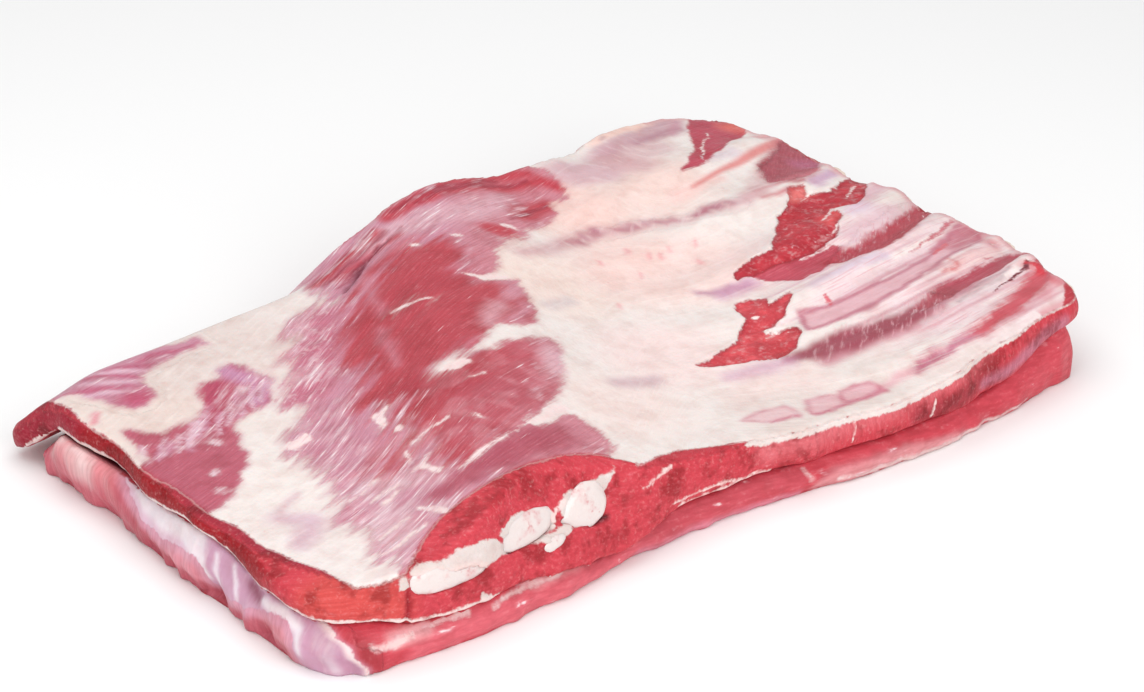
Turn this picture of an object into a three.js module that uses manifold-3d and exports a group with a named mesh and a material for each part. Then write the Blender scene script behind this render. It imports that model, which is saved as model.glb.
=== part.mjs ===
// A raw breast of veal, bone in, lying on its outer side with the inner side up.
// The flank is at -X, the sawn rib ends are at +X and the cut through the breastbone runs along -Y.
// Millimetres, +Z up, with the origin at the bottom centre of the whole piece.
import * as THREE from "three";
import { mergeVertices } from "three/addons/utils/BufferGeometryUtils.js";
import Module from "manifold-3d";

const { lerp, smoothstep, degToRad } = THREE.MathUtils;

// The whole piece.
const LENGTH = 517; // flank edge to sawn rib ends
const FRONT_Y = -137; // cut through the breastbone
const BACK_Y = 151; // far edge
const FLANK_HEIGHT = 43; // top of the flank above the table
const HANGING_EDGE = 15; // top of the far flank edge, which hangs down
const FLANK_CORNER_RADIUS = 20; // between the flank edge and the front cut
const CORNER_RADIUS = 9; // at the other three corners
const CLEARANCE = 0.3; // gap around a bone or a piece of cartilage in the meat
const SEAM_GAP = 1.7; // gap between the rib wall and the outer layer

// The ridge of the midriff muscle, which crosses from the front cut to the far edge.
const RIDGE = {
  frontX: -160,
  backX: 26,
  frontRise: 21.5,
  backRise: 30,
  frontFlankWidth: 48,
  backFlankWidth: 66,
  frontRibWidth: 78,
  backRibWidth: 86,
};

// The hollow of the rib cage, and the rises around it.
const HOLLOW = { x: 51, y: -65, depth: 9.5, halfLength: 98, halfWidth: 140 };
const RIB_END_RISE = 5.5;
const SAWN_EDGE_FALL = 4.5;
const FAR_SIDE_RISE = 10;
const FAR_FLANK_RISE = 3.5;

// Places along the far edge and the sawn edge where the inner side swells up or sinks in.
const EDGE_SWELLS = [
  { x: 93, y: 148, reachX: 15, reachY: 16, rise: 3.5 },
  { x: 140, y: 152, reachX: 16, reachY: 18, rise: -5 },
  { x: 254, y: 110, reachX: 20, reachY: 9, rise: -4 },
  { x: 254, y: 20, reachX: 24, reachY: 11, rise: 3 },
  { x: 254, y: -84, reachX: 24, reachY: 15, rise: -6 },
];

// The ribs: where each meets the sawn edge from front to back, and how they run under the lining.
const RIB_ENDS = [-141, -113, -83, -48, -4, 46, 98];
const RIB = { width: 17, thickness: 9.5, cover: 3, rise: 3.7, spread: 11.5, proud: 1, sides: 8, steps: 8 };
const RIB_SWEEP = { x: 172, front: 32, back: 2, sawnEnd: 8.5 };
const RIB_INNER_END = { front: 23, back: 65 };

// The outer layer of muscle between the rib wall and the table.
const LAYER = { height: 16, flankFold: 12, flankLobe: 6, cornerLobe: 7.5, endMuscle: 16, frontDip: 7.5, flankGap: 3.5 };
const WALL_SWELL = 2.3; // how far the sides swell between top and bottom
const LAYER_SWELL = 3.7;

// Cartilage of the breastbone, seen on the front cut.
const CARTILAGE = [
  { x: -193, z: 38, length: 46, height: 12, tilt: 4 },
  { x: -147, z: 41, length: 41, height: 14, tilt: 0 },
  { x: -107, z: 37, length: 28, height: 20, tilt: -25 },
  { x: -130, z: 30, length: 17, height: 5.5, tilt: -10 },
];
const CARTILAGE_DEPTH = 22;
const CARTILAGE_PROUD = 3;

const bump = (distance, width) => Math.exp(-((distance / width) ** 2));
const wave = (u, length, phase) => Math.sin((2 * Math.PI * u) / length + phase);

// The far flank corner, where the sheet hangs down to the table: 0 clear of it, 1 at its edge.
function hanging(x, y) {
  const start = lerp(119, 130, smoothstep(x, -256, -200));
  return smoothstep(y, start, 165) * (1 - smoothstep(x, -102, -37));
}

// The edges in plan.
function leftEdge(y) {
  const waist = 9.5 * smoothstep(y, -9, 74) - 4.5 * smoothstep(y, 121, 153);
  return -256 - 4.5 * bump(y + 93, 37) + waist + 1.4 * wave(y, 59, 0.5);
}

function rightEdge(y) {
  return 261 - 28 * (1 - smoothstep(y, -167, -74)) + 2 * wave(y, 80, 1.2);
}

function frontEdge(x) {
  const belly = 4.5 * bump(x + 102, 42) + 25 * smoothstep(x, -28, 140) - 4.5 * smoothstep(x, 177, 260);
  const flank = 17 * (1 - smoothstep(x, -265, -186));
  return FRONT_Y - belly + flank + 1.1 * wave(x, 53, 0);
}

function backEdge(x) {
  const flank = 9.5 * (1 - smoothstep(x, -130, -37));
  return BACK_Y + flank + 11 * smoothstep(x, 84, 177) - 20 * smoothstep(x, 209, 265);
}

// The plan point at a share s of the length and t of the width.
// The outline is drawn in from the edges by inset, and its corners are rounded.
function planPoint(s, t, inset) {
  const along = lerp(-LENGTH / 2, LENGTH / 2, s);
  const front = frontEdge(along) + inset.front(along);
  const back = backEdge(along) - inset.back(along);
  const y = lerp(front, back, t);
  const left = leftEdge(y) + inset.left;
  const right = rightEdge(y) - inset.right;
  const x = lerp(left, right, s);
  const radius = s < 0.5 && t < 0.5 ? FLANK_CORNER_RADIUS : CORNER_RADIUS;
  const insideX = Math.max(0, radius - Math.min(x - left, right - x));
  const insideY = Math.max(0, radius - Math.min(y - front, back - y));
  const pull = 1 - Math.max(insideX, insideY) / (Math.hypot(insideX, insideY) || 1);
  return [x + Math.sign(0.5 - s) * insideX * pull, y + Math.sign(0.5 - t) * insideY * pull];
}

// The middle line of a rib in plan. The front ribs sweep back as they near the flank.
function ribLine(index, x) {
  const away = (x - RIB_SWEEP.x) / 100;
  const sweep = lerp(RIB_SWEEP.front, RIB_SWEEP.back, index / (RIB_ENDS.length - 1));
  return RIB_ENDS[index] + away ** 2 * (away < 0 ? sweep : RIB_SWEEP.sawnEnd);
}

function ribRise(x, y) {
  const ridges = RIB_ENDS.reduce((sum, _, i) => sum + bump(y - ribLine(i, x), RIB.spread), 0);
  return RIB.rise * (ridges - 0.6) * smoothstep(x, 28, 121);
}

// Height of the inner side above the table.
function topHeight(x, y) {
  const across = (y - FRONT_Y) / (BACK_Y - FRONT_Y);
  const away = x - lerp(RIDGE.frontX, RIDGE.backX, across);
  const flankWidth = lerp(RIDGE.frontFlankWidth, RIDGE.backFlankWidth, across);
  const ribWidth = lerp(RIDGE.frontRibWidth, RIDGE.backRibWidth, across);
  const ridge = lerp(RIDGE.frontRise, RIDGE.backRise, across) * bump(away, away < 0 ? flankWidth : ribWidth);
  const hollow = HOLLOW.depth * bump(x - HOLLOW.x, HOLLOW.halfLength) * bump(y - HOLLOW.y, HOLLOW.halfWidth);
  const ribEnd = RIB_END_RISE * smoothstep(x, 84, 186);
  const sawnEdge = SAWN_EDGE_FALL * smoothstep(x, 219, 265) * smoothstep(y, -102, -37);
  const farLength = smoothstep(x, 74, 130) * (1 - 0.5 * smoothstep(x, 167, 242));
  const farSide = FAR_SIDE_RISE * smoothstep(y, 19, 149) * farLength;
  const flankLength = smoothstep(x, -256, -205) * (1 - smoothstep(x, -140, -56));
  const farFlank = FAR_FLANK_RISE * smoothstep(y, 46, 130) * flankLength;
  const edge = EDGE_SWELLS.reduce((sum, s) => sum + s.rise * bump(x - s.x, s.reachX) * bump(y - s.y, s.reachY), 0);
  const full = FLANK_HEIGHT + ridge - hollow + ribEnd - sawnEdge + farSide + farFlank + edge + ribRise(x, y);
  return lerp(full, HANGING_EDGE, hanging(x, y));
}

// Height of the seam between the rib wall and the outer layer.
function seamHeight(x, y) {
  const flankFold = LAYER.flankFold * smoothstep(y, -121, -37) * (1 - smoothstep(x, -232, -102));
  const lobes = LAYER.flankLobe * bump(y + 18, 25) + LAYER.cornerLobe * (1 - smoothstep(y, -86, -62));
  const flankLobes = lobes * (1 - smoothstep(x, -238, -205));
  const endMuscle = LAYER.endMuscle * smoothstep(x, 149, 223) * (1 - smoothstep(y, -121, 19));
  const frontDip = LAYER.frontDip * bump(x + 93, 28) * (1 - smoothstep(y, -137, -84));
  return lerp(LAYER.height + flankFold + flankLobes + endMuscle - frontDip, 2, hanging(x, y + 7.5));
}

function geometry(points, faces) {
  const made = new THREE.BufferGeometry();
  made.setAttribute("position", new THREE.Float32BufferAttribute(points.flat(), 3));
  made.setIndex(faces);
  return made;
}

// A closed slab. Its upper and lower faces each give a point for the shares (s, t) of its length and width.
// The side runs between their rims in belts that swell outwards.
// The lower face has half as many rows and columns as the upper one.
function slab({ columns, rows, belts, upper, lower, swell }) {
  const points = [];
  const faces = [];
  const add = (point) => points.push(point) - 1;
  const rise = (a, b) => Math.abs(points[a][2] - points[b][2]);
  const quad = (a, b, c, d) => {
    if (rise(a, c) <= rise(b, d)) faces.push(a, b, c, a, c, d);
    else faces.push(a, b, d, b, c, d);
  };
  const grid = (face, m, n) =>
    Array.from({ length: n + 1 }, (_, j) => Array.from({ length: m + 1 }, (_, i) => add(face(i / m, j / n))));
  const rim = (ids) => [
    ...ids[0].slice(0, -1),
    ...ids.slice(0, -1).map((row) => row.at(-1)),
    ...ids.at(-1).slice(1).reverse(),
    ...ids.slice(1).map((row) => row[0]).reverse(),
  ];
  const top = grid(upper, columns, rows);
  const foot = grid(lower, columns / 2, rows / 2);
  for (let j = 0; j < rows; j++) {
    for (let i = 0; i < columns; i++) {
      quad(top[j][i], top[j][i + 1], top[j + 1][i + 1], top[j + 1][i]);
    }
  }
  for (let j = 0; j < rows / 2; j++) {
    for (let i = 0; i < columns / 2; i++) {
      quad(foot[j][i], foot[j + 1][i], foot[j + 1][i + 1], foot[j][i + 1]);
    }
  }
  const first = rim(top);
  const last = rim(foot);
  const count = first.length;
  const footPoint = (k) => {
    const a = points[last[Math.floor(k / 2)]];
    const b = points[last[Math.ceil(k / 2) % last.length]];
    return a.map((value, axis) => (value + b[axis]) / 2);
  };
  const sidePoint = (k, share) => {
    const before = points[first[(k + count - 1) % count]];
    const after = points[first[(k + 1) % count]];
    const along = new THREE.Vector2(after[0] - before[0], after[1] - before[1]).normalize();
    const end = footPoint(k);
    const [x, y, z] = points[first[k]].map((value, axis) => lerp(value, end[axis], share));
    const out = swell * Math.sin(Math.PI * share);
    return add([x + out * along.y, y - out * along.x, z]);
  };
  let above = first;
  for (let belt = 1; belt < belts; belt++) {
    const below = first.map((_, k) => sidePoint(k, belt / belts));
    for (let k = 0; k < count; k++) {
      const next = (k + 1) % count;
      faces.push(above[k], below[k], below[next], above[k], below[next], above[next]);
    }
    above = below;
  }
  for (let k = 0; k < last.length; k++) {
    const a = last[k];
    const b = last[(k + 1) % last.length];
    const [p, q, r] = [above[2 * k], above[2 * k + 1], above[(2 * k + 2) % count]];
    faces.push(p, a, q, q, a, b, q, b, r);
  }
  return geometry(points, faces);
}

// A closed bar through a row of rings that all have the same number of points.
function bar(rings) {
  const sides = rings[0].length;
  const faces = [];
  for (let k = 0; k + 1 < rings.length; k++) {
    for (let j = 0; j < sides; j++) {
      const a = k * sides + j;
      const b = k * sides + ((j + 1) % sides);
      faces.push(a, b, b + sides, a, b + sides, a + sides);
    }
  }
  const last = (rings.length - 1) * sides;
  for (let j = 1; j + 1 < sides; j++) {
    faces.push(0, j + 1, j, last, last + j, last + j + 1);
  }
  return geometry(rings.flat(), faces);
}

// The rib wall: the muscle around the ribs, the midriff and the flank sheet.
const wallTopInset = { left: 3, right: 3, front: (x) => 3 + 20 * bump(x + 116, 46), back: () => 3 };
const wallFootInset = { left: 2, right: 2, front: () => 0, back: () => 2 };
const wallShape = slab({
  columns: 48,
  rows: 44,
  belts: 4,
  upper: (s, t) => {
    const [x, y] = planPoint(s, t, wallTopInset);
    return [x, y, topHeight(x, y)];
  },
  lower: (s, t) => {
    const [x, y] = planPoint(s, t, wallFootInset);
    return [x, y, seamHeight(x, y) + SEAM_GAP];
  },
  swell: WALL_SWELL,
});

// The outer layer, flat where it lies on the table. It leaves a gap under the far flank corner.
const layerEnd = (x) => lerp(25, 15, smoothstep(x, -112, -37));
const layerTopInset = { left: 4, right: 9.5, front: () => 4, back: layerEnd };
const layerFootInset = { left: -2, right: 6, front: (x) => 4 * bump(x + 70, 45) - 1, back: layerEnd };
const layerShape = slab({
  columns: 36,
  rows: 20,
  belts: 5,
  upper: (s, t) => {
    const [x, y] = planPoint(s, t, layerTopInset);
    const gap = LAYER.flankGap * smoothstep(y, 33, 70) * (1 - smoothstep(x, -244, -209));
    return [x, y, seamHeight(x, y) - gap];
  },
  lower: (s, t) => [...planPoint(s, t, layerFootInset), 0],
  swell: LAYER_SWELL,
});

// A rib, or with grow the hole it lies in.
function ribShape(index, grow) {
  const inner = lerp(RIB_INNER_END.front, RIB_INNER_END.back, index / (RIB_ENDS.length - 1)) - grow;
  const sawn = rightEdge(RIB_ENDS[index]) + RIB.proud + grow;
  const halfWidth = RIB.width / 2 + grow;
  const halfThickness = RIB.thickness / 2 + grow;
  const ring = (k) => {
    const x = lerp(inner, sawn, k / RIB.steps);
    const y = ribLine(index, x);
    const z = topHeight(x, y) - RIB.cover - RIB.thickness / 2;
    return Array.from({ length: RIB.sides }, (_, j) => {
      const angle = (2 * Math.PI * j) / RIB.sides;
      return [x, y + halfWidth * Math.cos(angle), z + halfThickness * Math.sin(angle)];
    });
  };
  return bar(Array.from({ length: RIB.steps + 1 }, (_, k) => ring(k)));
}

// Where the front cut of the rib wall is at a height.
function frontFaceY(x, z) {
  const topY = frontEdge(x) + wallTopInset.front(x);
  const top = topHeight(x, topY);
  const share = (top - z) / (top - seamHeight(x, frontEdge(x)));
  return lerp(topY, frontEdge(x), share) - WALL_SWELL * Math.sin(Math.PI * share);
}

// A piece of cartilage, or with grow the pocket it lies in: a ball squared off towards a block.
function cartilageShape({ x, z, length, height, tilt }, grow) {
  const shape = new THREE.SphereGeometry(1, 12, 8);
  const position = shape.getAttribute("position");
  const point = new THREE.Vector3();
  for (let i = 0; i < position.count; i++) {
    point.fromBufferAttribute(position, i);
    const size = Math.cbrt(Math.abs(point.x) ** 3 + Math.abs(point.y) ** 3 + Math.abs(point.z) ** 3);
    point.divideScalar(size);
    position.setXYZ(i, point.x, point.y, point.z);
  }
  shape.scale(length / 2 + grow, CARTILAGE_DEPTH / 2 + grow, height / 2 + grow);
  shape.rotateY(degToRad(tilt));
  shape.translate(x, frontFaceY(x, z) + CARTILAGE_DEPTH / 2 - CARTILAGE_PROUD, z);
  return shape;
}

// Cutting the holes for the bones and the cartilage.
const wasm = await Module();
wasm.setup();

function solid(shape) {
  const bare = shape.clone();
  bare.deleteAttribute("normal");
  bare.deleteAttribute("uv");
  const merged = mergeVertices(bare);
  const vertProperties = merged.getAttribute("position").array;
  const triVerts = new Uint32Array(merged.index.array);
  return new wasm.Manifold(new wasm.Mesh({ numProp: 3, vertProperties, triVerts }));
}

function shapeOf(manifold) {
  const mesh = manifold.getMesh();
  const made = new THREE.BufferGeometry();
  made.setAttribute("position", new THREE.BufferAttribute(mesh.vertProperties, 3));
  made.setIndex(new THREE.BufferAttribute(mesh.triVerts, 1));
  return made;
}

let wall = solid(wallShape);
RIB_ENDS.forEach((_, i) => {
  wall = wall.subtract(solid(ribShape(i, CLEARANCE)));
});
for (const place of CARTILAGE) {
  wall = wall.subtract(solid(cartilageShape(place, CLEARANCE)));
}

// The pieces, each with its own colour.
const pieces = new THREE.Group();

function piece(name, shape, color, roughness) {
  const mesh = new THREE.Mesh(shape, new THREE.MeshStandardMaterial({ color, roughness, metalness: 0 }));
  mesh.name = name;
  pieces.add(mesh);
}

piece("rib_wall", shapeOf(wall), 0xcf9a98, 0.45);
piece("outer_layer", layerShape, 0xb4565c, 0.45);
RIB_ENDS.forEach((_, i) => piece(`rib_${i + 1}`, ribShape(i, 0), 0xe3d2c6, 0.6));
CARTILAGE.forEach((place, i) => piece(`cartilage_${i + 1}`, cartilageShape(place, 0), 0xf0e6e2, 0.4));

// The origin of the whole is at its bottom centre.
const box = new THREE.Box3().setFromObject(pieces);
const centre = box.getCenter(new THREE.Vector3());
pieces.position.set(-centre.x, -centre.y, -box.min.z);
const breast = new THREE.Group();
breast.add(pieces);

export default breast;
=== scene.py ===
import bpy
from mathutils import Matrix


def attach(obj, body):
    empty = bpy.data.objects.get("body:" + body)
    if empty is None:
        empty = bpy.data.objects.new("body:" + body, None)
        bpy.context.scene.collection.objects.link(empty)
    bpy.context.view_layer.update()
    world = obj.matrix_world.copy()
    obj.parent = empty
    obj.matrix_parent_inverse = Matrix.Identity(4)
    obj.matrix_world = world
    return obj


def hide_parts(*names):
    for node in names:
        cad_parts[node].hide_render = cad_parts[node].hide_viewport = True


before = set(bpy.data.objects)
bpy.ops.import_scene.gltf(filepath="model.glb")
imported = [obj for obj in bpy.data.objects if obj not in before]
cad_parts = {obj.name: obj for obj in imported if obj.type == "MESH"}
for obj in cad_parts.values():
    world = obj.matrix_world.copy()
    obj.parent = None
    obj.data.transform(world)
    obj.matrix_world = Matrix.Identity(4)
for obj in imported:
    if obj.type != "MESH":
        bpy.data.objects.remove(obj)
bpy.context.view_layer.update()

import itertools
import math

import bpy
import numpy as np
from mathutils import Vector, kdtree

# The rib wall: one slab of raw meat, cut on all sides and lying with its inner side up.
# A lining of fat and membrane covers the ribs and the flank. The midriff muscle lies bare across the hump.
# Its solid is copied, remeshed finely, and then sculpted and stained point by point.

MM = 0.001
WALL_VOXEL = 1.7
WALL_SMOOTHING = 8
HIDDEN_FACES_LEFT = 0.5
WALL_FACES_LEFT = 0.95
# A depth that lies outside every outline, and the tilts of a normal between which a point joins a side.
OUTSIDE = -30
FACING = (0.3, 0.6)


def select_only(piece):
    bpy.ops.object.select_all(action="DESELECT")
    piece.select_set(True)
    bpy.context.view_layer.objects.active = piece


def apply_modifier(piece, kind, **settings):
    modifier = piece.modifiers.new(kind.title(), kind)
    for name, value in settings.items():
        setattr(modifier, name, value)
    select_only(piece)
    bpy.ops.object.modifier_apply(modifier=modifier.name)


def sculpting_copy(node, name, voxel, smoothing):
    """A merged copy of a solid, remeshed to squares of that size and smoothed."""
    piece = bpy.data.objects.new(name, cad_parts[node].data.copy())
    bpy.context.scene.collection.objects.link(piece)
    select_only(piece)
    bpy.ops.object.mode_set(mode="EDIT")
    bpy.ops.mesh.select_all(action="SELECT")
    bpy.ops.mesh.remove_doubles(threshold=0.01 * MM)
    bpy.ops.object.mode_set(mode="OBJECT")
    piece.data.materials.clear()
    apply_modifier(piece, "REMESH", mode="VOXEL", voxel_size=voxel * MM)
    apply_modifier(piece, "SMOOTH", factor=0.5, iterations=smoothing)
    return piece


def points_of(piece):
    """Each point of a piece in millimetres, and its normal."""
    place = np.empty(len(piece.data.vertices) * 3, np.float32)
    piece.data.vertices.foreach_get("co", place)
    normal = np.empty(len(place), np.float32)
    piece.data.vertex_normals.foreach_get("vector", normal)
    return place.reshape(-1, 3).astype(float) / MM, normal.reshape(-1, 3).astype(float)


def move_points(piece, place):
    piece.data.vertices.foreach_set("co", (place * MM).astype(np.float32).ravel())
    piece.data.update()


def under_the_skin(place, normal, depth=5, reach=300, width=3):
    """Points that don't show from outside: the face between the layers and the walls of the bone holes."""
    rows = 2 * reach // width
    column = np.floor((place[:, :2] + reach) / width).astype(int) @ (rows, 1)
    top = np.full(rows * rows, -np.inf)
    np.maximum.at(top, column, place[:, 2])
    middle = (np.abs(place[:, 0]) < 240) & (place[:, 1] > -116) & (place[:, 1] < 132)
    return middle & ((normal[:, 2] < 0.2) | (top[column] - place[:, 2] > depth))


def thin_out(piece, chosen, ratio):
    """Merges faces at the given points, until that share of all faces is left or no more can go."""
    group = piece.vertex_groups.new(name="chosen")
    group.add(np.flatnonzero(chosen).tolist(), 1, "REPLACE")
    apply_modifier(piece, "DECIMATE", ratio=ratio, vertex_group=group.name)
    piece.vertex_groups.clear()


def ease(value, low, high):
    share = np.clip((value - low) / (high - low), 0, 1)
    return share * share * (3 - 2 * share)


def grain(points, size, seed):
    """Smooth random values from -1 to 1 with lumps of about that size."""
    place = points / size + 31.7 * seed
    cell = np.floor(place).astype(int)
    share = place - cell
    share = share * share * (3 - 2 * share)
    values = np.random.default_rng(seed).uniform(-1, 1, 4096)
    step = np.array([1, 1619, 2665])[: points.shape[1]]
    total = np.zeros(len(points))
    for corner in itertools.product((0, 1), repeat=points.shape[1]):
        weight = np.where(corner, share, 1 - share).prod(axis=1)
        total += weight * values[(cell + corner) @ step % 4096]
    return total


def long_grain(u, v, sizes, seed):
    """Smooth random values with lumps that are longer one way than the other."""
    return grain(np.column_stack([u, v]) / sizes, 1, seed)


def wobble(points, size, seed):
    """A random shift in two directions, which makes an outline ragged."""
    return np.column_stack([grain(points, size, seed), grain(points, size, seed + 1)])


def inside(points, outline):
    """How far inside an outline each point lies, in mm, and below zero outside it."""
    corners = np.array(outline, float)
    nearest = np.full(len(points), np.inf)
    within = np.zeros(len(points), bool)
    for start, end in zip(corners, np.roll(corners, -1, axis=0)):
        run = end - start
        share = np.clip((points - start) @ run / (run @ run), 0, 1)
        nearest = np.minimum(nearest, np.linalg.norm(points - start - share[:, None] * run, axis=1))
        crosses = (start[1] > points[:, 1]) != (end[1] > points[:, 1])
        rise = run[1] if run[1] else 1
        within ^= crosses & (points[:, 0] < start[0] + (points[:, 1] - start[1]) * run[0] / rise)
    return np.where(within, nearest, -nearest)


def along(points, line):
    """How far inside a stroke each point lies. The line gives x, y and the half width at each turn."""
    turns = np.array(line, float)
    depth = np.full(len(points), -np.inf)
    for start, end in zip(turns, turns[1:]):
        run = end[:2] - start[:2]
        share = np.clip((points - start[:2]) @ run / (run @ run), 0, 1)
        away = np.linalg.norm(points - start[:2] - share[:, None] * run, axis=1)
        depth = np.maximum(depth, start[2] + share * (end[2] - start[2]) - away)
    return depth


def spot(points, x, y, radius):
    return radius - np.linalg.norm(points - (x, y), axis=1)


def linear(code):
    """A screen colour such as "c04a55" as the light it reflects."""
    screen = np.array([int(code[i : i + 2], 16) for i in (0, 2, 4)]) / 255
    return np.where(screen < 0.04045, screen / 12.92, ((screen + 0.055) / 1.055) ** 2.4)


class Skin:
    """What each point of a piece of meat looks like, until it is stored on the mesh."""

    def __init__(self, count, lean, muscle, fat):
        self.lean = np.full(count, float(lean))
        self.soft = np.full(count, 0.6)
        self.marbling = np.zeros(count)
        self.crumbs = np.zeros(count)
        self.muscle = np.tile(linear(muscle), (count, 1))
        self.fat = np.tile(linear(fat), (count, 1))

    def bare(self, depth, colour, soft=0.6):
        """Muscle lies bare to that depth inside an outline, and fades over soft mm at its edge."""
        self.lean = np.maximum(self.lean, depth)
        self.stain_muscle(depth, colour, 2 + soft)
        self.soft += (soft - self.soft) * ease(depth, -3 - 2 * soft, 0)

    def fatten(self, depth, colour, soft=0.6):
        """Fat covers the muscle inside an outline."""
        self.lean = np.minimum(self.lean, -depth)
        self.stain_fat(depth, colour, 2 + soft)
        self.soft += (soft - self.soft) * ease(depth, -3 - 2 * soft, 0)

    def stain_muscle(self, depth, colour, fade, strength=1.0):
        share = strength * ease(depth, -fade, fade / 2)
        self.muscle += (linear(colour) - self.muscle) * share[:, None]

    def stain_fat(self, depth, colour, fade, strength=1.0):
        share = strength * ease(depth, -fade, fade / 2)
        self.fat += (linear(colour) - self.fat) * share[:, None]

    def store(self, piece, fibre, rim):
        """Keeps the paint on the mesh, where the material reads it."""
        edge = np.stack([self.lean, self.soft, rim], axis=1)
        fibre = np.column_stack([fibre, self.marbling])
        for name, value in (("edge", edge), ("fibre", fibre)):
            kept = piece.data.attributes.new(name, "FLOAT_VECTOR", "POINT")
            kept.data.foreach_set("vector", value.astype(np.float32).ravel())
        for name, value in (("muscle", self.muscle), ("fat", self.fat)):
            kept = piece.data.attributes.new(name, "FLOAT_COLOR", "POINT")
            with_crumbs = np.column_stack([value, self.crumbs])
            kept.data.foreach_set("color", with_crumbs.astype(np.float32).ravel())


def rim_distance(piece, place, level, shown):
    """Distance from the line where a level crosses zero, below zero where the level is."""
    ends = np.empty(len(piece.data.edges) * 2, np.int32)
    piece.data.edges.foreach_get("vertices", ends)
    ends = ends.reshape(-1, 2)
    ends = ends[shown[ends].all(axis=1) & ((level[ends[:, 0]] > 0) != (level[ends[:, 1]] > 0))]
    share = level[ends[:, 0]] / (level[ends[:, 0]] - level[ends[:, 1]])
    rim = place[ends[:, 0]] + share[:, None] * (place[ends[:, 1]] - place[ends[:, 0]])
    tree = kdtree.KDTree(len(rim))
    for number, point in enumerate(rim):
        tree.insert(point, number)
    tree.balance()
    away = np.array([tree.find(point)[2] for point in place])
    return np.where(level > 0, away, -away)


def combed(plan, guides, spacing=8, half_length=280, half_width=184, rounds=4000):
    """The coordinate across fibres that run through the guide points at the given angles."""
    across_x = np.arange(-half_length, half_length + 1, spacing)
    across_y = np.arange(-half_width, half_width + 1, spacing)
    x, y = np.meshgrid(across_x, across_y, indexing="ij")
    weight = [1 / ((x - gx) ** 2 + (y - gy) ** 2 + 300) ** 1.5 for gx, gy, _ in guides]
    turn = np.radians(sum(w * angle for w, (_, _, angle) in zip(weight, guides)) / sum(weight))
    step_x = -np.sin(turn) * spacing
    step_y = np.cos(turn) * spacing
    step_x = (step_x[1:] + step_x[:-1]) / 2
    step_y = (step_y[:, 1:] + step_y[:, :-1]) / 2
    level = y * 0.85 - x * 0.5
    count = np.full(level.shape, 4)
    count[[0, -1]] -= 1
    count[:, [0, -1]] -= 1
    for _ in range(rounds):
        total = np.zeros(level.shape)
        total[:-1] += level[1:] - step_x
        total[1:] += level[:-1] + step_x
        total[:, :-1] += level[:, 1:] - step_y
        total[:, 1:] += level[:, :-1] + step_y
        level = total / count
    column = np.clip((plan[:, 0] + half_length) / spacing, 0, len(across_x) - 1.001)
    row = np.clip((plan[:, 1] + half_width) / spacing, 0, len(across_y) - 1.001)
    i, j = column.astype(int), row.astype(int)
    s, t = column - i, row - j
    low = level[i, j] * (1 - s) + level[i + 1, j] * s
    high = level[i, j + 1] * (1 - s) + level[i + 1, j + 1] * s
    return low * (1 - t) + high * t


wall = sculpting_copy("rib_wall", "lined_rib_wall", WALL_VOXEL, WALL_SMOOTHING)
place, normal = points_of(wall)
thin_out(wall, under_the_skin(place, normal), HIDDEN_FACES_LEFT)
thin_out(wall, np.ones(len(wall.data.vertices), bool), WALL_FACES_LEFT)
place, normal = points_of(wall)
x, y, z = place.T
plan = place[:, :2]
far_flank = ease(y, 108, 122) * (1 - ease(x, -60, -30))
shown = ~under_the_skin(place, normal)

# Where the knife ran over the edge, the cut shows from above: at the flank corner and by the breastbone.
FLANK_BEVEL = [
    (-266, -54), (-254, -56), (-253, -65), (-250, -77), (-247, -86), (-243, -97), (-241, -106),
    (-240, -116), (-231, -121), (-224, -128), (-224, -140), (-266, -140),
]
BREAST_BEVEL = [
    (-216, -126), (-200, -117), (-183, -112), (-171, -111.5), (-148, -113.5), (-121, -111.8), (-108, -111),
    (-95, -112), (-85, -115.5), (-77, -121), (-72, -127), (-72, -150), (-216, -150),
]
loose = plan + wobble(plan, 9, 7) * 1.2
bevel = np.maximum(inside(loose, FLANK_BEVEL), inside(loose, BREAST_BEVEL))
facing_up = np.minimum(normal[:, 2] - 0.7 + 0.42 * far_flank, -0.1 * bevel)
upper = (facing_up > 0) & shown
rim = rim_distance(wall, place, facing_up, shown)
front = ease(-normal[:, 1], *FACING) * ~upper
left = ease(-normal[:, 0], *FACING) * ~upper
cut = ~upper

# How the fibres run: x, y and the angle from +X in degrees. Over the ribs the stripes follow the ribs.
FIBRES = [
    (60, 138, 8), (20, 112, 14), (-40, 125, 10), (-75, 105, 32), (-105, 85, 44), (-125, 60, 40),
    (-150, 40, 48), (-95, 50, 12), (-60, 70, 8), (-60, 30, 8), (-115, 12, 8), (-15, 30, 24), (-100, -20, 6),
    (-60, -35, 16), (-110, -65, 14), (-70, -88, 18), (-140, -88, 4), (-150, -50, 10), (-165, -10, 32),
    (-185, -60, 2), (-205, -100, -2), (-215, 55, 44), (-230, 10, 16), (-175, 75, 50), (-210, 120, 4),
    (60, 40, 20),
]
# Length and width of one strand of meat, and of one streak of fat.
STRAND = (15, 1.1)
STREAK = (26, 3)


def strands(u, v, length, width):
    """Coordinates along and across fibres. Larger shares make longer and wider fibres."""
    return np.column_stack([u * STRAND[0] / length, v * STRAND[1] / width])


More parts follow.
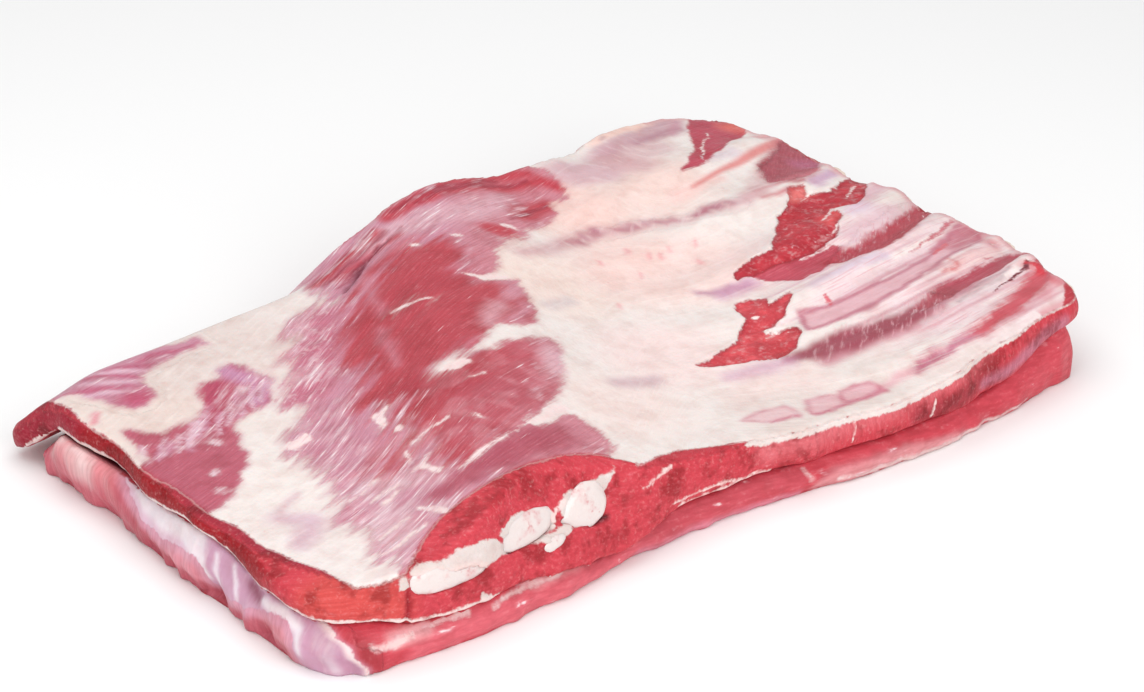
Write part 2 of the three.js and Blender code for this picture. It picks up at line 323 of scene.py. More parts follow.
across = combed(plan, FIBRES)
sweep = np.where(x < 172, 32 - 30 * np.clip((y + 141) / 239, 0, 1), 8.5)
rib_across = y - sweep * ((x - 172) / 100) ** 2
over_ribs = ease(x - 0.72 * (y + 100), -50, 20)
fibre_across = across + (rib_across - across) * over_ribs
fibre_along = 0.75 * x + 0.65 * y * (1 - over_ribs)
upright = ease(x, 20, 50) * front
grainy_cut = strands(x + y, z, 3.2, 2.4)
upright_cut = strands(z + 0.3 * x, x, 8, 1.9)
fibre = np.column_stack([fibre_along, fibre_across])
fibre[cut] = grainy_cut[cut]
fibre[upright > 0.5] = upright_cut[upright > 0.5]

# The lining and what shows through it. Outlines are in plan. Strokes add a half width at each turn.
waver = wobble(plan, 14, 1) * 1.8
waver += wobble(plan, 5.5, 3) * 1.1
drawn = plan + waver
skin = Skin(len(place), OUTSIDE, "b9505c", "e5dbd7")
lift = np.zeros(len(place))


def on_top(depth):
    return np.where(cut, OUTSIDE, depth)


LINING_TINTS = (
    (-210, 85, 45, "decdc6"), (-150, 105, 40, "dccdc8"), (-200, -30, 40, "e6dcd8"),
    (-225, -90, 40, "e6dcd9"), (25, 45, 30, "e9d5cd"), (85, 40, 30, "ebcfc9"), (95, 105, 26, "e9cac3"),
    (115, 15, 25, "e9d0cb"), (30, -40, 30, "ebd6d3"), (-30, -75, 25, "e9d7d2"), (150, 95, 24, "e6ccc5"),
    (55, -105, 22, "e9d3cf"), (40, -138, 30, "ddd0cb"), (105, -152, 32, "ddd0cb"),
    (160, -150, 50, "e2d6d2"), (195, -60, 55, "ead6d8"), (190, -112, 40, "ead7d8"),
)
for bx, by, radius, colour in LINING_TINTS:
    skin.stain_fat(spot(drawn, bx, by, radius), colour, 24)

MIDRIFF = [
    (-74, 160), (95, 160), (108, 141), (109, 128), (100, 115), (90, 118), (84, 107), (66, 98), (45, 88),
    (27, 85), (14, 77), (4, 64), (-4, 56), (-13, 54), (-20, 58), (-17, 49), (3, 47), (-4, 32), (-11, 18),
    (-20, 6), (-33, 5), (-47, 10), (-58, 1), (-68, -6), (-84, -5), (-95, -5), (-101, -13), (-93, -19),
    (-85, -14), (-77, -9), (-66, -15), (-54, -11), (-27, -9), (-22, -15), (-30, -25), (-46, -43),
    (-61, -58), (-80, -69), (-104, -78), (-98, -84), (-72, -77), (-66, -92), (-67, -106), (-78, -114),
    (-80, -130), (-218, -130), (-217, -96), (-206, -82), (-212, -66), (-195, -50), (-188, -35), (-186, -10),
    (-184, 6), (-176, 18), (-163, 23), (-153, 32), (-157, 42), (-146, 56), (-134, 66), (-127, 81),
    (-112, 97), (-102, 107), (-88, 111), (-78, 109), (-73, 126),
]
MIDRIFF_CORE = [
    (-28, 110), (-8, 96), (-6, 78), (-20, 62), (-25, 50), (-12, 40), (-22, 15), (-40, 12), (-62, -2),
    (-100, -8), (-60, -16), (-45, -22), (-60, -45), (-100, -72), (-145, -88), (-158, -84), (-155, -70),
    (-150, -62), (-172, -54), (-160, -42), (-140, -38), (-146, -28), (-138, -18), (-127, -8), (-137, 12),
    (-124, 23), (-104, 40), (-117, 52), (-96, 74), (-80, 88), (-62, 100),
]
STREAKED_CORNER = [(-220, -125), (-162, -125), (-164, -62), (-178, -46), (-200, -46), (-216, -66)]
frayed = long_grain(fibre_along, fibre_across, (22, 2.6), 5)
frayed += 0.6 * long_grain(fibre_along, fibre_across, (35, 6), 6)
midriff = inside(drawn, MIDRIFF) + 1.2 * frayed
core = inside(drawn, MIDRIFF_CORE) + 9 * frayed
flank_side = ease(-60 + 0.72 * (y + 100) - x, 60, 110)
crumbling = along(drawn, [(-86, 106, 8), (-115, 80, 14), (-142, 48, 14), (-156, 33, 6)])
midriff += 4 * flank_side * frayed * on_top(1.0).clip(0)
patches = grain(plan, 26, 61) + 0.7 * grain(plan, 11, 62)
skin.bare(midriff, "c8808b", 2.4)
skin.stain_muscle(on_top(12 * flank_side - 5), "c6899b", 8)
skin.stain_muscle(on_top(9 * patches - 5 - 12 * (1 - flank_side)), "b86478", 6, 0.6)
skin.soft += 4 * flank_side * on_top(ease(midriff, -16, 0)).clip(0)
skin.stain_muscle(core - 2, "b64450", 13)
MIDRIFF_TINTS = (
    ([(-118, -5, 8), (-100, -35, 8), (-85, -60, 5)], "ab3644", 12, 0.8),
    ([(-92, 70, 6), (-40, 62, 8)], "b03e4b", 14, 0.7),
    ([(-40, 0, 6), (-60, -35, 8)], "bf5866", 14, 0.7),
    ([(-32, -22, 4), (-46, -40, 5)], "dcb4bd", 9, 0.8),
    ([(-150, -98, 4), (-90, -92, 6)], "a94f64", 14, 0.8),
    ([(-130, -68, 8), (-105, -54, 12), (-70, -45, 8)], "b9606d", 16, 0.6),
    ([(-48, 12, 3), (-30, 24, 4)], "d9a9b2", 8, 0.7),
)
for stroke, colour, fade, strength in MIDRIFF_TINTS:
    skin.stain_muscle(along(drawn, stroke), colour, fade, strength)
pale = grain(plan, 9, 67) + 0.6 * grain(plan, 4.5, 68)
skin.stain_muscle(on_top(8 * pale - 3), "d79ba4", 5, 0.3 * ease(-y, 0, 35))
# Painted sheen: a pale band along the top of the ridge, where the muscle catches the light.
skin.stain_muscle(along(drawn, [(-30, 130, 8), (0, 119, 8), (30, 116, 7), (62, 124, 4)]), "d9adb8", 9, 0.8)
RED_FOLDS = (
    [(-6, 142, 6), (16, 141, 6)], [(16, 136, 2), (60, 138, 2), (98, 136, 3), (106, 124, 3)],
    [(30, 145, 3), (80, 148, 4), (95, 144, 2)], [(62, 110, 6), (84, 116, 6)], [(28, 96, 5), (36, 92, 5)],
    [(-70, 130, 3), (-25, 135, 3)], [(-60, 122, 1.5), (-22, 121, 1.5)],
)
for stroke in RED_FOLDS:
    skin.stain_muscle(along(drawn, stroke), "bb3442", 6, 0.9)
# Painted shade: thin dark lines in the creases between the folds of the midriff.
CREASE_SHADE_STROKES = (
    [(-4, 144, 0.8), (30, 143, 1.2), (70, 144, 0.8)], [(10, 138, 0.6), (50, 140, 1), (90, 139, 0.6)],
    [(-72, 133, 0.6), (-48, 135, 1), (-22, 139, 0.6)], [(-70, 124, 0.6), (-45, 126, 1), (-20, 131, 0.6)],
    [(-66, 115, 0.6), (-40, 121, 1), (-14, 125, 0.5)], [(50, 106, 0.8), (70, 112, 1.2), (86, 116, 0.6)],
)
for stroke in CREASE_SHADE_STROKES:
    skin.stain_muscle(along(drawn, stroke), "92263a", 2.4, 0.75)
PALE_SEAMS = (
    [(-103, 18, 0.8), (-93, 36, 1.4), (-86, 55, 0.8)], [(-75, 66, 0.8), (-66, 84, 1), (-58, 104, 1.5)],
    [(-40, 112, 2), (10, 104, 3)], [(-12, 36, 2), (0, 44, 3)], [(-30, 8, 1), (-14, 24, 2)],
    [(-40, -42, 2), (-28, -22, 2)],
)
for stroke in PALE_SEAMS:
    skin.stain_muscle(along(drawn, stroke), "cf98a8", 6, 0.4)
WHITE_FLECKS = (
    [(-73, 60, 0.9), (-64, 58, 1.4), (-53, 51, 0.9)], [(-22, 61, 0.8), (-15, 53, 1.5), (-2, 50, 1)],
    [(38, 99, 2), (44, 96, 2)], [(-24, 103, 1.4), (-22, 101, 1.4)], [(0, 97, 0.8), (4, 93, 0.8)],
    [(-142, -18, 2), (-137, -8, 3), (-130, -5, 1)], [(-142, -31, 2), (-140, -29, 2)],
    [(-159, -58, 0.6), (-152, -49, 0.8)], [(-158, -66, 2), (-158, -79, 2)],
    [(-162, -65, 1), (-150, -64, 1)], [(-146, -45, 0.7), (-138, -46, 1), (-126, -49, 1)],
    [(-152, -89, 1), (-138, -87, 2), (-120, -86, 1), (-112, -84, 0.6)],
    [(-110, -82, 0.6), (-92, -78, 1.4), (-72, -71, 2.6)], [(-188, -66, 1), (-175, -66, 1.6)],
    [(-187, -73, 1), (-177, -72, 1.2)], [(-192, -56, 1), (-174, -54, 1)], [(-208, -94, 1), (-190, -94, 1)],
    [(-214, -107, 1), (-190, -107, 1.4)], [(-180, -93, 1), (-178, -112, 1.6)],
    [(-119, -60, 0.8), (-118, -66, 0.8)], [(-95, -28, 0.5), (-86, -29, 0.7)], [(-180, 6, 4), (-171, 7, 4)],
    [(-94, -12.5, 3), (-86, -15, 3)],
)
for stroke in WHITE_FLECKS:
    skin.fatten(on_top(along(drawn, stroke)), "ecd6d5", 1.3)
veiled = 0.55 + 0.2 * flank_side - (0.3 + 0.2 * flank_side - 0.22 * ease(-y, 0, 40)) * ease(core, -8, 8)
skin.marbling += ease(midriff, -6, 3) * (veiled + 0.25 * patches * flank_side) * ~cut
skin.marbling += 0.1 * ease(np.maximum(crumbling, inside(drawn, STREAKED_CORNER)), -6, 5) * ~cut
skin.crumbs += 0.32 * ease(crumbling, -8, 6) * ~cut
over_breast = along(drawn, [(-168, -96, 3), (-154, -99, 5), (-128, -98, 7), (-93, -93, 7)])
skin.marbling *= 1 - 0.55 * ease(over_breast, -9, 3)
skin.stain_muscle(over_breast, "ab4a5b", 10, 0.8)
skin.stain_muscle(crumbling, "bf6b80", 8, 0.8)

# Bare meat on the flank: a rolled far edge, and a sheet of lean, streaked white and purple where thin.
FLANK_FAR = [
    (-246, 128), (-232, 124), (-226, 110), (-224, 100), (-219, 90), (-212, 88), (-203, 93), (-201, 107),
    (-196, 114), (-184, 118), (-167, 120), (-149, 120), (-150, 128), (-172, 133), (-190, 140), (-228, 141),
]
FLANK_LEAN = [
    (-258, 38), (-240, 47), (-233, 75), (-230, 76), (-226, 67), (-220, 60), (-208, 62), (-196, 62),
    (-189, 70), (-184, 82), (-179, 86), (-167, 86), (-162, 94), (-154, 95), (-150, 88), (-147, 70),
    (-152, 62), (-158, 50), (-176, 50), (-184, 47), (-192, 40), (-193, 34), (-199, 27), (-202, 15),
    (-208, 7), (-216, 4), (-219, -2), (-228, -9), (-240, -17), (-258, -15),
]
flank_far = on_top(inside(drawn, FLANK_FAR))
flank_lean = on_top(inside(drawn, FLANK_LEAN))
skin.bare(flank_far, "c58a9d", 2.4)
skin.bare(flank_lean, "b85c6e", 2.4)
fibre[flank_far > -6] = np.column_stack([x, y - 0.06 * x + waver[:, 1]])[flank_far > -6]
streaky = ease(along(drawn, [(-242, 48, 7), (-210, 48, 9), (-186, 58, 9), (-160, 72, 14)]), -6, 4) * ~cut
skin.marbling += 0.5 * ease(flank_far, -4, 3) + 0.15 * ease(flank_lean, -4, 3) + 0.7 * streaky
skin.soft += 1.5 * streaky
FLANK_TINTS = (
    ([(-160, 90, 5), (-153, 66, 5), (-163, 58, 5)], "c48ead", 8, 0.9),
    ([(-188, 66, 3), (-172, 82, 4)], "b04660", 6, 1),
    ([(-240, 46, 2), (-196, 50, 3)], "b0485c", 6, 0.8),
)
for stroke, colour, fade, strength in FLANK_TINTS:
    skin.stain_muscle(on_top(along(drawn, stroke)), colour, fade, strength)
skin.stain_muscle(on_top(spot(drawn, -211, 96, 6)), "bd5673", 8)
FLANK_STRANDS = (
    ([(-241, 132, 0.6), (-229, 121.5, 1.6), (-213, 111.5, 1.4), (-206, 108, 0.6)], "bb5a78"),
    ([(-221, 131.5, 0.6), (-206, 123, 1.4), (-198, 114, 0.8)], "bb5a78"),
    ([(-208, 128.5, 0.6), (-196, 125.5, 1.6), (-184, 119, 0.6)], "b65472"),
    ([(-190, 126.5, 0.6), (-178, 127, 1.8), (-170, 123.5, 1.4), (-154, 122, 0.5)], "b65472"),
    ([(-226, 127, 0.5), (-210, 116.5, 1.1), (-201, 110, 0.5)], "dfbccb"),
    ([(-216, 131, 0.5), (-201, 123, 1), (-192, 117, 0.5)], "dfbccb"),
    ([(-232, 119, 0.5), (-219, 110, 1), (-210, 104, 0.5)], "dfbccb"),
)
for stroke, colour in FLANK_STRANDS:
    skin.stain_muscle(on_top(along(drawn, stroke)), colour, 2.6, 0.8)
for fx, fy, radius in ((-206, 36, 4), (-165, 69, 3), (-225, 12, 3), (-232, -4, 3)):
    skin.fatten(on_top(spot(drawn, fx, fy, radius)), "e6cfd8", 2.4)
FRAY_X = [-242, -205, -182, -158]
FRAY_Y = [44, 46, 54, 62]
FRAY_COLOURS = ("e3c6d2", "a53852", "d3a0b6")
FRAY_COUNT = 30
frays = np.random.default_rng(63)
for number in range(FRAY_COUNT):
    sx = FRAY_X[0] + (FRAY_X[-1] - FRAY_X[0]) * number / (FRAY_COUNT - 1) + frays.uniform(-1.5, 1.5)
    sy = np.interp(sx, FRAY_X, FRAY_Y) + frays.uniform(-7, 5)
    length = frays.uniform(9, 24)
    middle = (sx + 0.3 * length, sy + 0.4 * length, 1.2)
    tip = (sx + 0.6 * length, sy + 0.8 * length, 0.4)
    streak = on_top(along(drawn, [(sx, sy, 0.5), middle, tip]))
    skin.stain_muscle(streak, FRAY_COLOURS[number % 3], 2.2, 0.75)
FLANK_VEINS = (
    ([(-228, -45, 3), (-218, -55, 5), (-232, -70, 4)], "cda6b8", 9, 0.7),
    ([(-222, -39, 1), (-208, -31, 1)], "cfaab4", 5, 0.7),
    ([(-241, 93, 1), (-236, 98, 1)], "d9748a", 4, 0.8),
)
for stroke, colour, fade, strength in FLANK_VEINS:
    skin.stain_fat(along(drawn, stroke), colour, fade, strength)

# Between the ribs: bare meat where the lining is torn off, and meat that shows through it.
TORN_BACK = [
    (116, -7), (122, -1), (135, 1), (150, 0), (160, 7), (172, 17), (183, 28), (195, 31), (203, 39),
    (208, 44), (222, 44), (215, 37), (228, 31), (245, 37), (264, 39), (264, 27), (250, 22), (232, 9),
    (222, 4), (216, 10), (210, 12), (208, 0), (201, -4), (193, -9), (185, -14), (172, -17), (150, -13),
    (132, -10), (122, -9),
]
TORN_LOBE = [
    (124, -8), (150, -10), (172, -14), (178, -16), (182, -22), (176, -28), (164, -32), (155, -34),
    (141, -33), (135, -24),
]
TORN_FRONT = [
    (38, -54), (60, -52), (75, -50), (80, -44), (95, -38), (97, -27), (103, -21), (112, -22), (115, -30),
    (112, -36), (128, -35), (126, -42), (118, -46), (112, -51), (100, -52), (92, -52), (100, -57),
    (108, -62), (103, -70), (92, -76), (78, -77), (60, -70), (48, -62),
]
FAR_CORNER = [
    (170, 94), (190, 106), (205, 120), (215, 132), (225, 146), (236, 155), (250, 150), (264, 140),
    (264, 127), (245, 118), (232, 112), (215, 104), (204, 101), (193, 96), (183, 94),
]
LAST_GAP = [
    (211, 68), (218, 80), (235, 88), (252, 96), (264, 96), (264, 72), (256, 65), (245, 55), (232, 49),
    (218, 50), (206, 56),
]
DARK_GROOVE = [
    (160, -99), (175, -95), (200, -94), (225, -91), (248, -88), (250, -101), (226, -105), (200, -106),
    (178, -108), (160, -108),
]
BARE_RIB = [
    (118, -54), (133, -60), (150, -64), (175, -67), (200, -65), (235, -54), (252, -50), (256, -60),
    (248, -68), (230, -73), (200, -79), (172, -84), (140, -82), (115, -76), (106, -71),
]
FRONT_GROOVE = [
    (114, -143), (120, -138), (132, -137), (138, -141), (155, -141), (165, -139), (185, -134), (205, -128),
    (222, -123), (236, -118), (238, -127), (222, -136), (200, -142), (175, -146), (150, -146), (136, -144),
]
BACK_GROOVE = [
    (164, -26), (190, -26), (215, -24), (240, -17), (262, -8), (262, -22), (242, -33), (216, -42),
    (190, -43), (170, -38),
]
torn_grain = strands(x, y, 3, 3)
BARE_PLACES = (
    (TORN_LOBE, "bb4c5c", 1.2, 1), (TORN_BACK, "c2323f", 0.5, 1.3), (TORN_FRONT, "d94d55", 0.5, 1.3),
    (FAR_CORNER, "b9485a", 1.4, 0.6), (LAST_GAP, "a7505c", 2.6, 1.2), (BACK_GROOVE, "b2424f", 2.4, 1.6),
    (DARK_GROOVE, "b15763", 1.6, 1.8), (FRONT_GROOVE, "cb5964", 3.4, 1.2),
)
for outline, colour, soft, depth in BARE_PLACES:
    torn = on_top(inside(drawn, outline))
    skin.bare(torn, colour, soft)
    lift += ease(torn, -1, 2) * (0.35 * grain(place, 4.5, 17) - depth)
    # A sharp edge is a tear: the lining curls up around it, and the meat in it is rough.
    if soft < 1:
        lift += 0.5 * ease(torn, -4, -1) * (1 - ease(torn, -1, 1))
        lift += 0.5 * ease(torn, -1, 2) * grain(place, 4, 18)
        fibre[torn > 0] = torn_grain[torn > 0]
        skin.marbling += 0.12 * ease(torn, -1, 2)
        skin.crumbs += 0.25 * ease(torn, -1, 2)
        skin.stain_muscle(np.minimum(torn, 4 * grain(place, 6, 65)), "9c2230", 2.4, 0.4)
        skin.stain_muscle(0.6 - np.abs(torn - 0.8), "9c2230", 1.6, 0.4)
# Strokes of bare meat. The first lies in the split in the lining and is painted dark, both for the meat
# there and as the split's painted shade.
BARE_STROKES_AND_SPLIT_SHADE = (
    ([(198, -121, 0.5), (222, -116.5, 1.1), (232, -114, 1.4), (241, -110, 1.6)], "6d2430", 0.5),
    ([(238, -110, 1), (240, -117, 2), (235, -122, 2.5)], "cf3f4a", 0.8),
    ([(204, -54, 0.3), (230, -52, 0.8), (250, -45, 1.5)], "cf7480", 1),
    ([(137, -54, 1), (135, -60, 1.6)], "d8606c", 1), ([(226, -60, 1), (212, -64, 1)], "d66a72", 1.4),
    ([(212, -76, 0.5), (211, -84, 0.8), (196, -87, 1)], "e0918f", 1.6),
    ([(228, -87, 0.6), (234, -88, 0.6)], "d98a92", 1.2),
)
for stroke, colour, soft in BARE_STROKES_AND_SPLIT_SHADE:
    skin.bare(on_top(along(drawn, stroke)), colour, soft)
FAT_STRANDS = (
    [(158, -16.5, 0.3), (172, -18, 0.7), (192, -19, 0.5)], [(228, 19, 0.4), (247, 28, 1)],
    [(92, -54, 0.8), (108, -55, 2.6)], [(193, 99, 0.3), (206, 114, 0.6), (226, 128, 0.4)],
    [(99, -39, 1.2), (101, -39, 1.2)], [(198, 6, 0.5), (212, 14, 1)], [(88, -57, 0.3), (98, -56, 0.8)],
    [(204, 33, 0.3), (222, 37, 0.7), (238, 33, 0.4)], [(186, -9, 0.3), (198, -5, 0.7)],
)
for stroke in FAT_STRANDS:
    skin.fatten(on_top(along(drawn, stroke)), "f3e4e0", 0.8)
BARE_TINTS = (
    ([(252, 131, 7), (262, 138, 7)], "e8796c", 12), ([(196, 103, 3), (212, 124, 3)], "b2394a", 6),
    ([(198, 2, 4), (212, 8, 3)], "df5a5c", 6), ([(210, 53, 3), (245, 53, 4)], "c9747f", 6),
    ([(150, -102, 3), (85, -90, 5)], "bd6d85", 8), ([(195, -97, 4), (243, -94, 4)], "b24d5c", 6),
    ([(205, 39, 3), (220, 39, 3)], "e07a76", 5), ([(112, -141, 4), (150, -143, 4)], "c4849a", 12),
    ([(246, 70, 6), (262, 62, 6)], "b5607c", 8),
)
for stroke, colour, fade in BARE_TINTS:
    skin.stain_muscle(along(drawn, stroke), colour, fade, 0.85)
RIB_LINES = [-139, -111, -81, -46, -2]
striped = ease(x, 95, 150) * (1 - ease(y, -5, 30)) * (1 - 0.8 * ease(-rib_across, 141, 147))
from_rib = np.min([np.abs(rib_across - line) for line in RIB_LINES], axis=0)
# Painted shade: the lining is greyed pink in the grooves between the ribs, away from each rib line.
skin.stain_fat(on_top(from_rib - 10), "d8bbc0", 6, 0.5 * striped)
LINE_COLOURS = ("c48390", "d3a9b4", "eee4e0")
LINE_COUNT = 30
lines = np.random.default_rng(64)
for number in range(LINE_COUNT):
    level = lines.uniform(-150, -24)
    begin = lines.uniform(105, 200)
    end = begin + lines.uniform(30, 90)
    strip = np.minimum(np.minimum(x - begin, end - x) / 8, 0.5 - np.abs(rib_across - level))
    skin.stain_fat(on_top(strip), LINE_COLOURS[number % 3], 1.8, 0.75)
bare_rib = inside(drawn, BARE_RIB)
skin.stain_fat(bare_rib, "dfb2ba", 2)
skin.stain_fat(1.4 - np.abs(bare_rib - 1), "b76b7d", 2, 0.8)
skin.stain_fat(along(drawn, [(228, -64, 5), (252, -58, 7)]), "bd6b7a", 9, 0.85)
LINING_STROKES = (
    ([(92, -98, 4), (130, -107, 6), (160, -110, 5), (200, -108, 3)], "bf7886", 7, 0.85),
    ([(80, -83, 4), (110, -94, 9), (150, -105, 7), (172, -103, 4)], "9a4252", 6, 0.95),
    ([(88, -84, 2), (112, -89, 3), (135, -97, 2)], "9c4454", 5, 0.7),
    ([(24, -127, 0.4), (38, -131.5, 1)], "b9486a", 2.6, 0.85),
    ([(48, -136.5, 1), (64, -138, 1.2), (90, -141, 1.6)], "b9486a", 2.6, 0.85),
    ([(90, -138, 2), (112, -141, 2)], "d792a0", 4, 0.6),
    ([(30, 74, 3), (61, 77, 3), (92, 82, 3), (110, 76.5, 3), (128, 69.5, 3), (143, 58, 3), (156, 56, 4),
      (171, 50, 3), (192, 53, 3)], "c99ca2", 8, 0.75),
    ([(66, 78, 1), (76, 80, 2.6), (92, 81.6, 2)], "b87680", 6, 0.75),
    ([(108, 77, 1.5), (116, 74, 1.5)], "bb8590", 4, 0.7),
    ([(146, 57, 1.5), (156, 57, 3), (168, 53, 2)], "ab5c70", 5, 0.8),
    ([(190, 54.5, 0.6), (207, 51, 1.2), (225, 47, 0.8)], "bd6670", 2.4, 0.85),
    ([(189, 46, 0.5), (207, 43.5, 1.1), (218, 42.5, 0.7)], "c46c74", 2.4, 0.85),
    ([(4, 22, 2), (22, 26, 3)], "ccbec0", 6, 0.7), ([(-14, -54, 3), (6, -58, 3.5)], "c5a6ae", 7, 0.75),
    ([(92, 0, 1), (100, -6, 1.5), (118, -13, 1.5)], "a86f8a", 4, 0.8),
    ([(104, -10, 2), (122, -14, 3)], "c394ae", 6, 0.8), ([(45, -75, 3), (75, -84, 5)], "cfa0b8", 8, 0.65),
    ([(142, -42, 2), (185, -49, 3)], "d3c0d0", 6, 0.8),
    ([(120, 135, 12), (140, 123, 9), (150, 140, 8)], "cba5ae", 10, 0.85),
    ([(152, 132, 6), (160, 114, 6)], "cfa4a8", 10, 0.8),
    ([(150, 130, 8), (185, 128, 7)], "caa4a8", 10, 0.75),
    ([(160, 143, 6), (212, 146, 7)], "c196a0", 9, 0.85),
    ([(178, 138, 1.5), (196, 140, 2.4), (214, 141, 1.5)], "b07e8b", 5, 0.8),
    ([(190, 152, 1), (219, 152.5, 1.6)], "b58591", 4, 0.7),
    ([(206, 138, 2), (222, 152, 2)], "c28c9b", 5, 0.7), ([(158, 157, 4), (200, 158, 4)], "eecabf", 5, 0.9),
    ([(163, 154, 0.8), (166, 156, 0.8)], "a8828a", 3, 0.7),
    ([(195, -18, 3), (235, -12, 3)], "d9b4be", 6, 0.6), ([(222, 4, 4), (255, 16, 6)], "d9a9b6", 8, 0.75),
    ([(215, 0, 4), (225, -2, 4)], "d8c0d2", 7, 0.7), ([(230, 43, 3), (246, 48, 3)], "bf94b4", 5, 0.8),
    ([(180, 50, 4), (202, 53, 4)], "d8b0b4", 6, 0.7), ([(196, 58, 3), (212, 70, 3)], "cfa3a6", 6, 0.6),
    ([(196, 100, 3), (214, 96, 3)], "cdbcc6", 5, 0.7), ([(155, 79, 3), (185, 80, 3)], "ecc2bd", 7, 0.7),
    ([(200, -86, 2), (240, -82, 4)], "e6bab8", 6, 0.7),
    ([(215, -141, 3), (238, -132, 4)], "d99aa4", 6, 0.7),
    ([(150, -116, 1), (205, -119, 1)], "d3c6c8", 4, 0.6),
    ([(182, -113, 0.4), (226, -109, 0.7)], "a4868d", 2, 0.8),
    ([(176, -117, 0.4), (214, -113, 0.7)], "b0959b", 2, 0.8),
)
for stroke, colour, fade, strength in LINING_STROKES:
    skin.stain_fat(along(drawn, stroke), colour, fade, strength)
RED_LINE = [(168, 81.5, 0.4), (190, 84.5, 1.4), (213, 87.5, 2), (235, 92.5, 2.6), (256, 97.5, 3)]
skin.stain_fat(along(plan, RED_LINE), "d67f7d", 3, 0.9)
CELLS = (
    [(13, -116), (24, -113), (33, -115), (41, -118), (42, -127), (40, -131), (28, -129), (20, -123)],
    [(54, -121), (66, -124), (71, -127), (70, -132), (64, -137), (54, -137), (46, -135), (48, -128)],
    [(75, -125), (83, -127), (90, -131), (92, -137), (88, -140), (77, -139), (68, -136), (70, -130)],
)
for corners, strength in zip(CELLS, (0.7, 0.9, 1)):
    cell = inside(plan + 0.7 * waver, corners)
    skin.stain_fat(cell, "dba6b0", 4, 0.8 * strength)
    skin.stain_fat(0.4 - np.abs(cell), "b8566e", 2.6, strength * (0.6 + 0.4 * grain(plan, 6, 66)))
LAST_RIB_X = [61, 92, 110, 128, 143, 156, 171]
LAST_RIB_Y = [77, 82, 76.5, 69.5, 58, 56, 50]
HATCH_COLOURS = ("b0707f", "e6d2cf", "bd8c96")
HATCH_COUNT = 40
hatches = np.random.default_rng(69)
for number in range(HATCH_COUNT):
    hx = hatches.uniform(LAST_RIB_X[0], LAST_RIB_X[-1])
    hy = np.interp(hx, LAST_RIB_X, LAST_RIB_Y) + hatches.uniform(-2.5, 2.5)
    reach = hatches.uniform(1, 3)
    lean_over = 0.4 * reach
    hatch = [(hx - lean_over, hy + reach, 0.3), (hx, hy, 0.9), (hx + lean_over, hy - reach, 0.3)]
    skin.stain_fat(along(drawn, hatch), HATCH_COLOURS[number % 3], 3, 0.5)
PINK_SPECKS = ((98, 44), (104, 40), (113, 41), (128, 37), (84, 34), (70, 52), (92, 56), (47, 12), (118, 22))
for fx, fy in PINK_SPECKS:
    skin.stain_fat(along(drawn, [(fx, fy, 0.6), (fx + 2, fy + 4, 0.6)]), "e39aa0", 2.4, 0.7)
skin.marbling += (0.25 + 0.5 * ease(-skin.lean, 0, 3)) * striped * ~cut
HATCHED = [
    [(82, 81, 2), (110, 76, 2), (143, 58, 3), (171, 50, 4)],
    [(80, -83, 6), (110, -94, 11), (150, -104, 9), (172, -103, 6)], [(172, -33, 4), (255, -18, 6)],
    [(215, 62, 8), (258, 82, 10)],
]
hatching = strands(0.77 * x + 0.64 * y, 0.77 * y - 0.64 * x, 9, 1.5)
for stroke in HATCHED:
    hatched = on_top(along(drawn, stroke))
    fibre[hatched > -4] = hatching[hatched > -4]
    skin.marbling += 0.35 * ease(hatched, -4, 2)
torn_end = along(drawn, [(236, -113, 2), (234, -124, 4), (231, -136, 2)])
skin.stain_fat(torn_end, "d2636b", 6, 0.8)
BARE_CORNER = [(245, -112, 2.5), (241, -122, 1), (239, -136, 1.4), (231, -149, 3.5), (214, -157, 2)]
skin.bare(on_top(along(drawn, BARE_CORNER)), "b93c46", 0.8)
skin.stain_fat(np.where(x > 200, 3 - rim, OUTSIDE), "cf7f88", 5, 0.75)
RIB_RIDGES = (
    [(120, -46, 3), (160, -50, 5), (200, -47, 6), (255, -32, 6)],
    [(120, -84, 2), (180, -88, 3), (255, -76, 5)], [(110, -112, 4), (180, -118, 7), (240, -110, 5)],
    [(170, 66, 5), (205, 92, 4), (258, 112, 5)], [(190, -18, 4), (225, -10, 6), (258, 4, 7)],
)
for stroke in RIB_RIDGES:
    lift += ~cut * 1.2 * ease(along(plan, stroke), -7, 5)

# The cut sides. Outlines on the front cut are in x and z, on the flank side in y and z.
cut_z = z - 0.3 * np.clip(bevel, 0, 13) * ease(z, 28, 44)
face = np.column_stack([x, cut_z]) + 0.6 * waver

# The width of the bare strip between the lining and the cut, along the flank side and along the front.
EDGE_Y = [-115, -95, -75, -35, 0, 25, 60, 85, 105, 140]
BARE_BY_FLANK = [0, 3, 4.5, 7, 5, 1, 0, 0, 3, 7]
EDGE_X = [-75, -55, -40, -20, 5]
BARE_BY_BREAST = [0, 6, 8, 5, 0]
EDGE_OVERHANG = 0.3
FRONT_OVERHANG = 2.6
by_flank = np.interp(y, EDGE_Y, BARE_BY_FLANK) * ease(-x, 222, 234)
by_breast = np.interp(x, EDGE_X, BARE_BY_BREAST) * ease(-y, 90, 105)
overhang = EDGE_OVERHANG + FRONT_OVERHANG * ease(x, -35, 0) * (1 - ease(x, 120, 210)) * front
overhang -= by_flank + by_breast
foot = np.abs(rim_distance(wall, place, normal[:, 2] + 0.5, np.ones(len(place), bool)))
skin.lean = np.maximum(skin.lean, np.where(shown, -rim - overhang, OUTSIDE))
skin.bare(on_top(by_flank - rim), "a12638", 0.8)
skin.bare(on_top(by_breast - rim), "c03a46", 0.8)
skin.muscle[cut] = linear("c73e4a")
skin.soft[cut] = 0.5
skin.marbling[cut] = 0.1
skin.crumbs[cut] = 0
skin.fat[cut] = linear("dccfcb")


def on_front(depth):
    return np.where(front > 0.5, depth, OUTSIDE)


def on_flank(depth):
    return np.where(left > 0.5, depth, OUTSIDE)


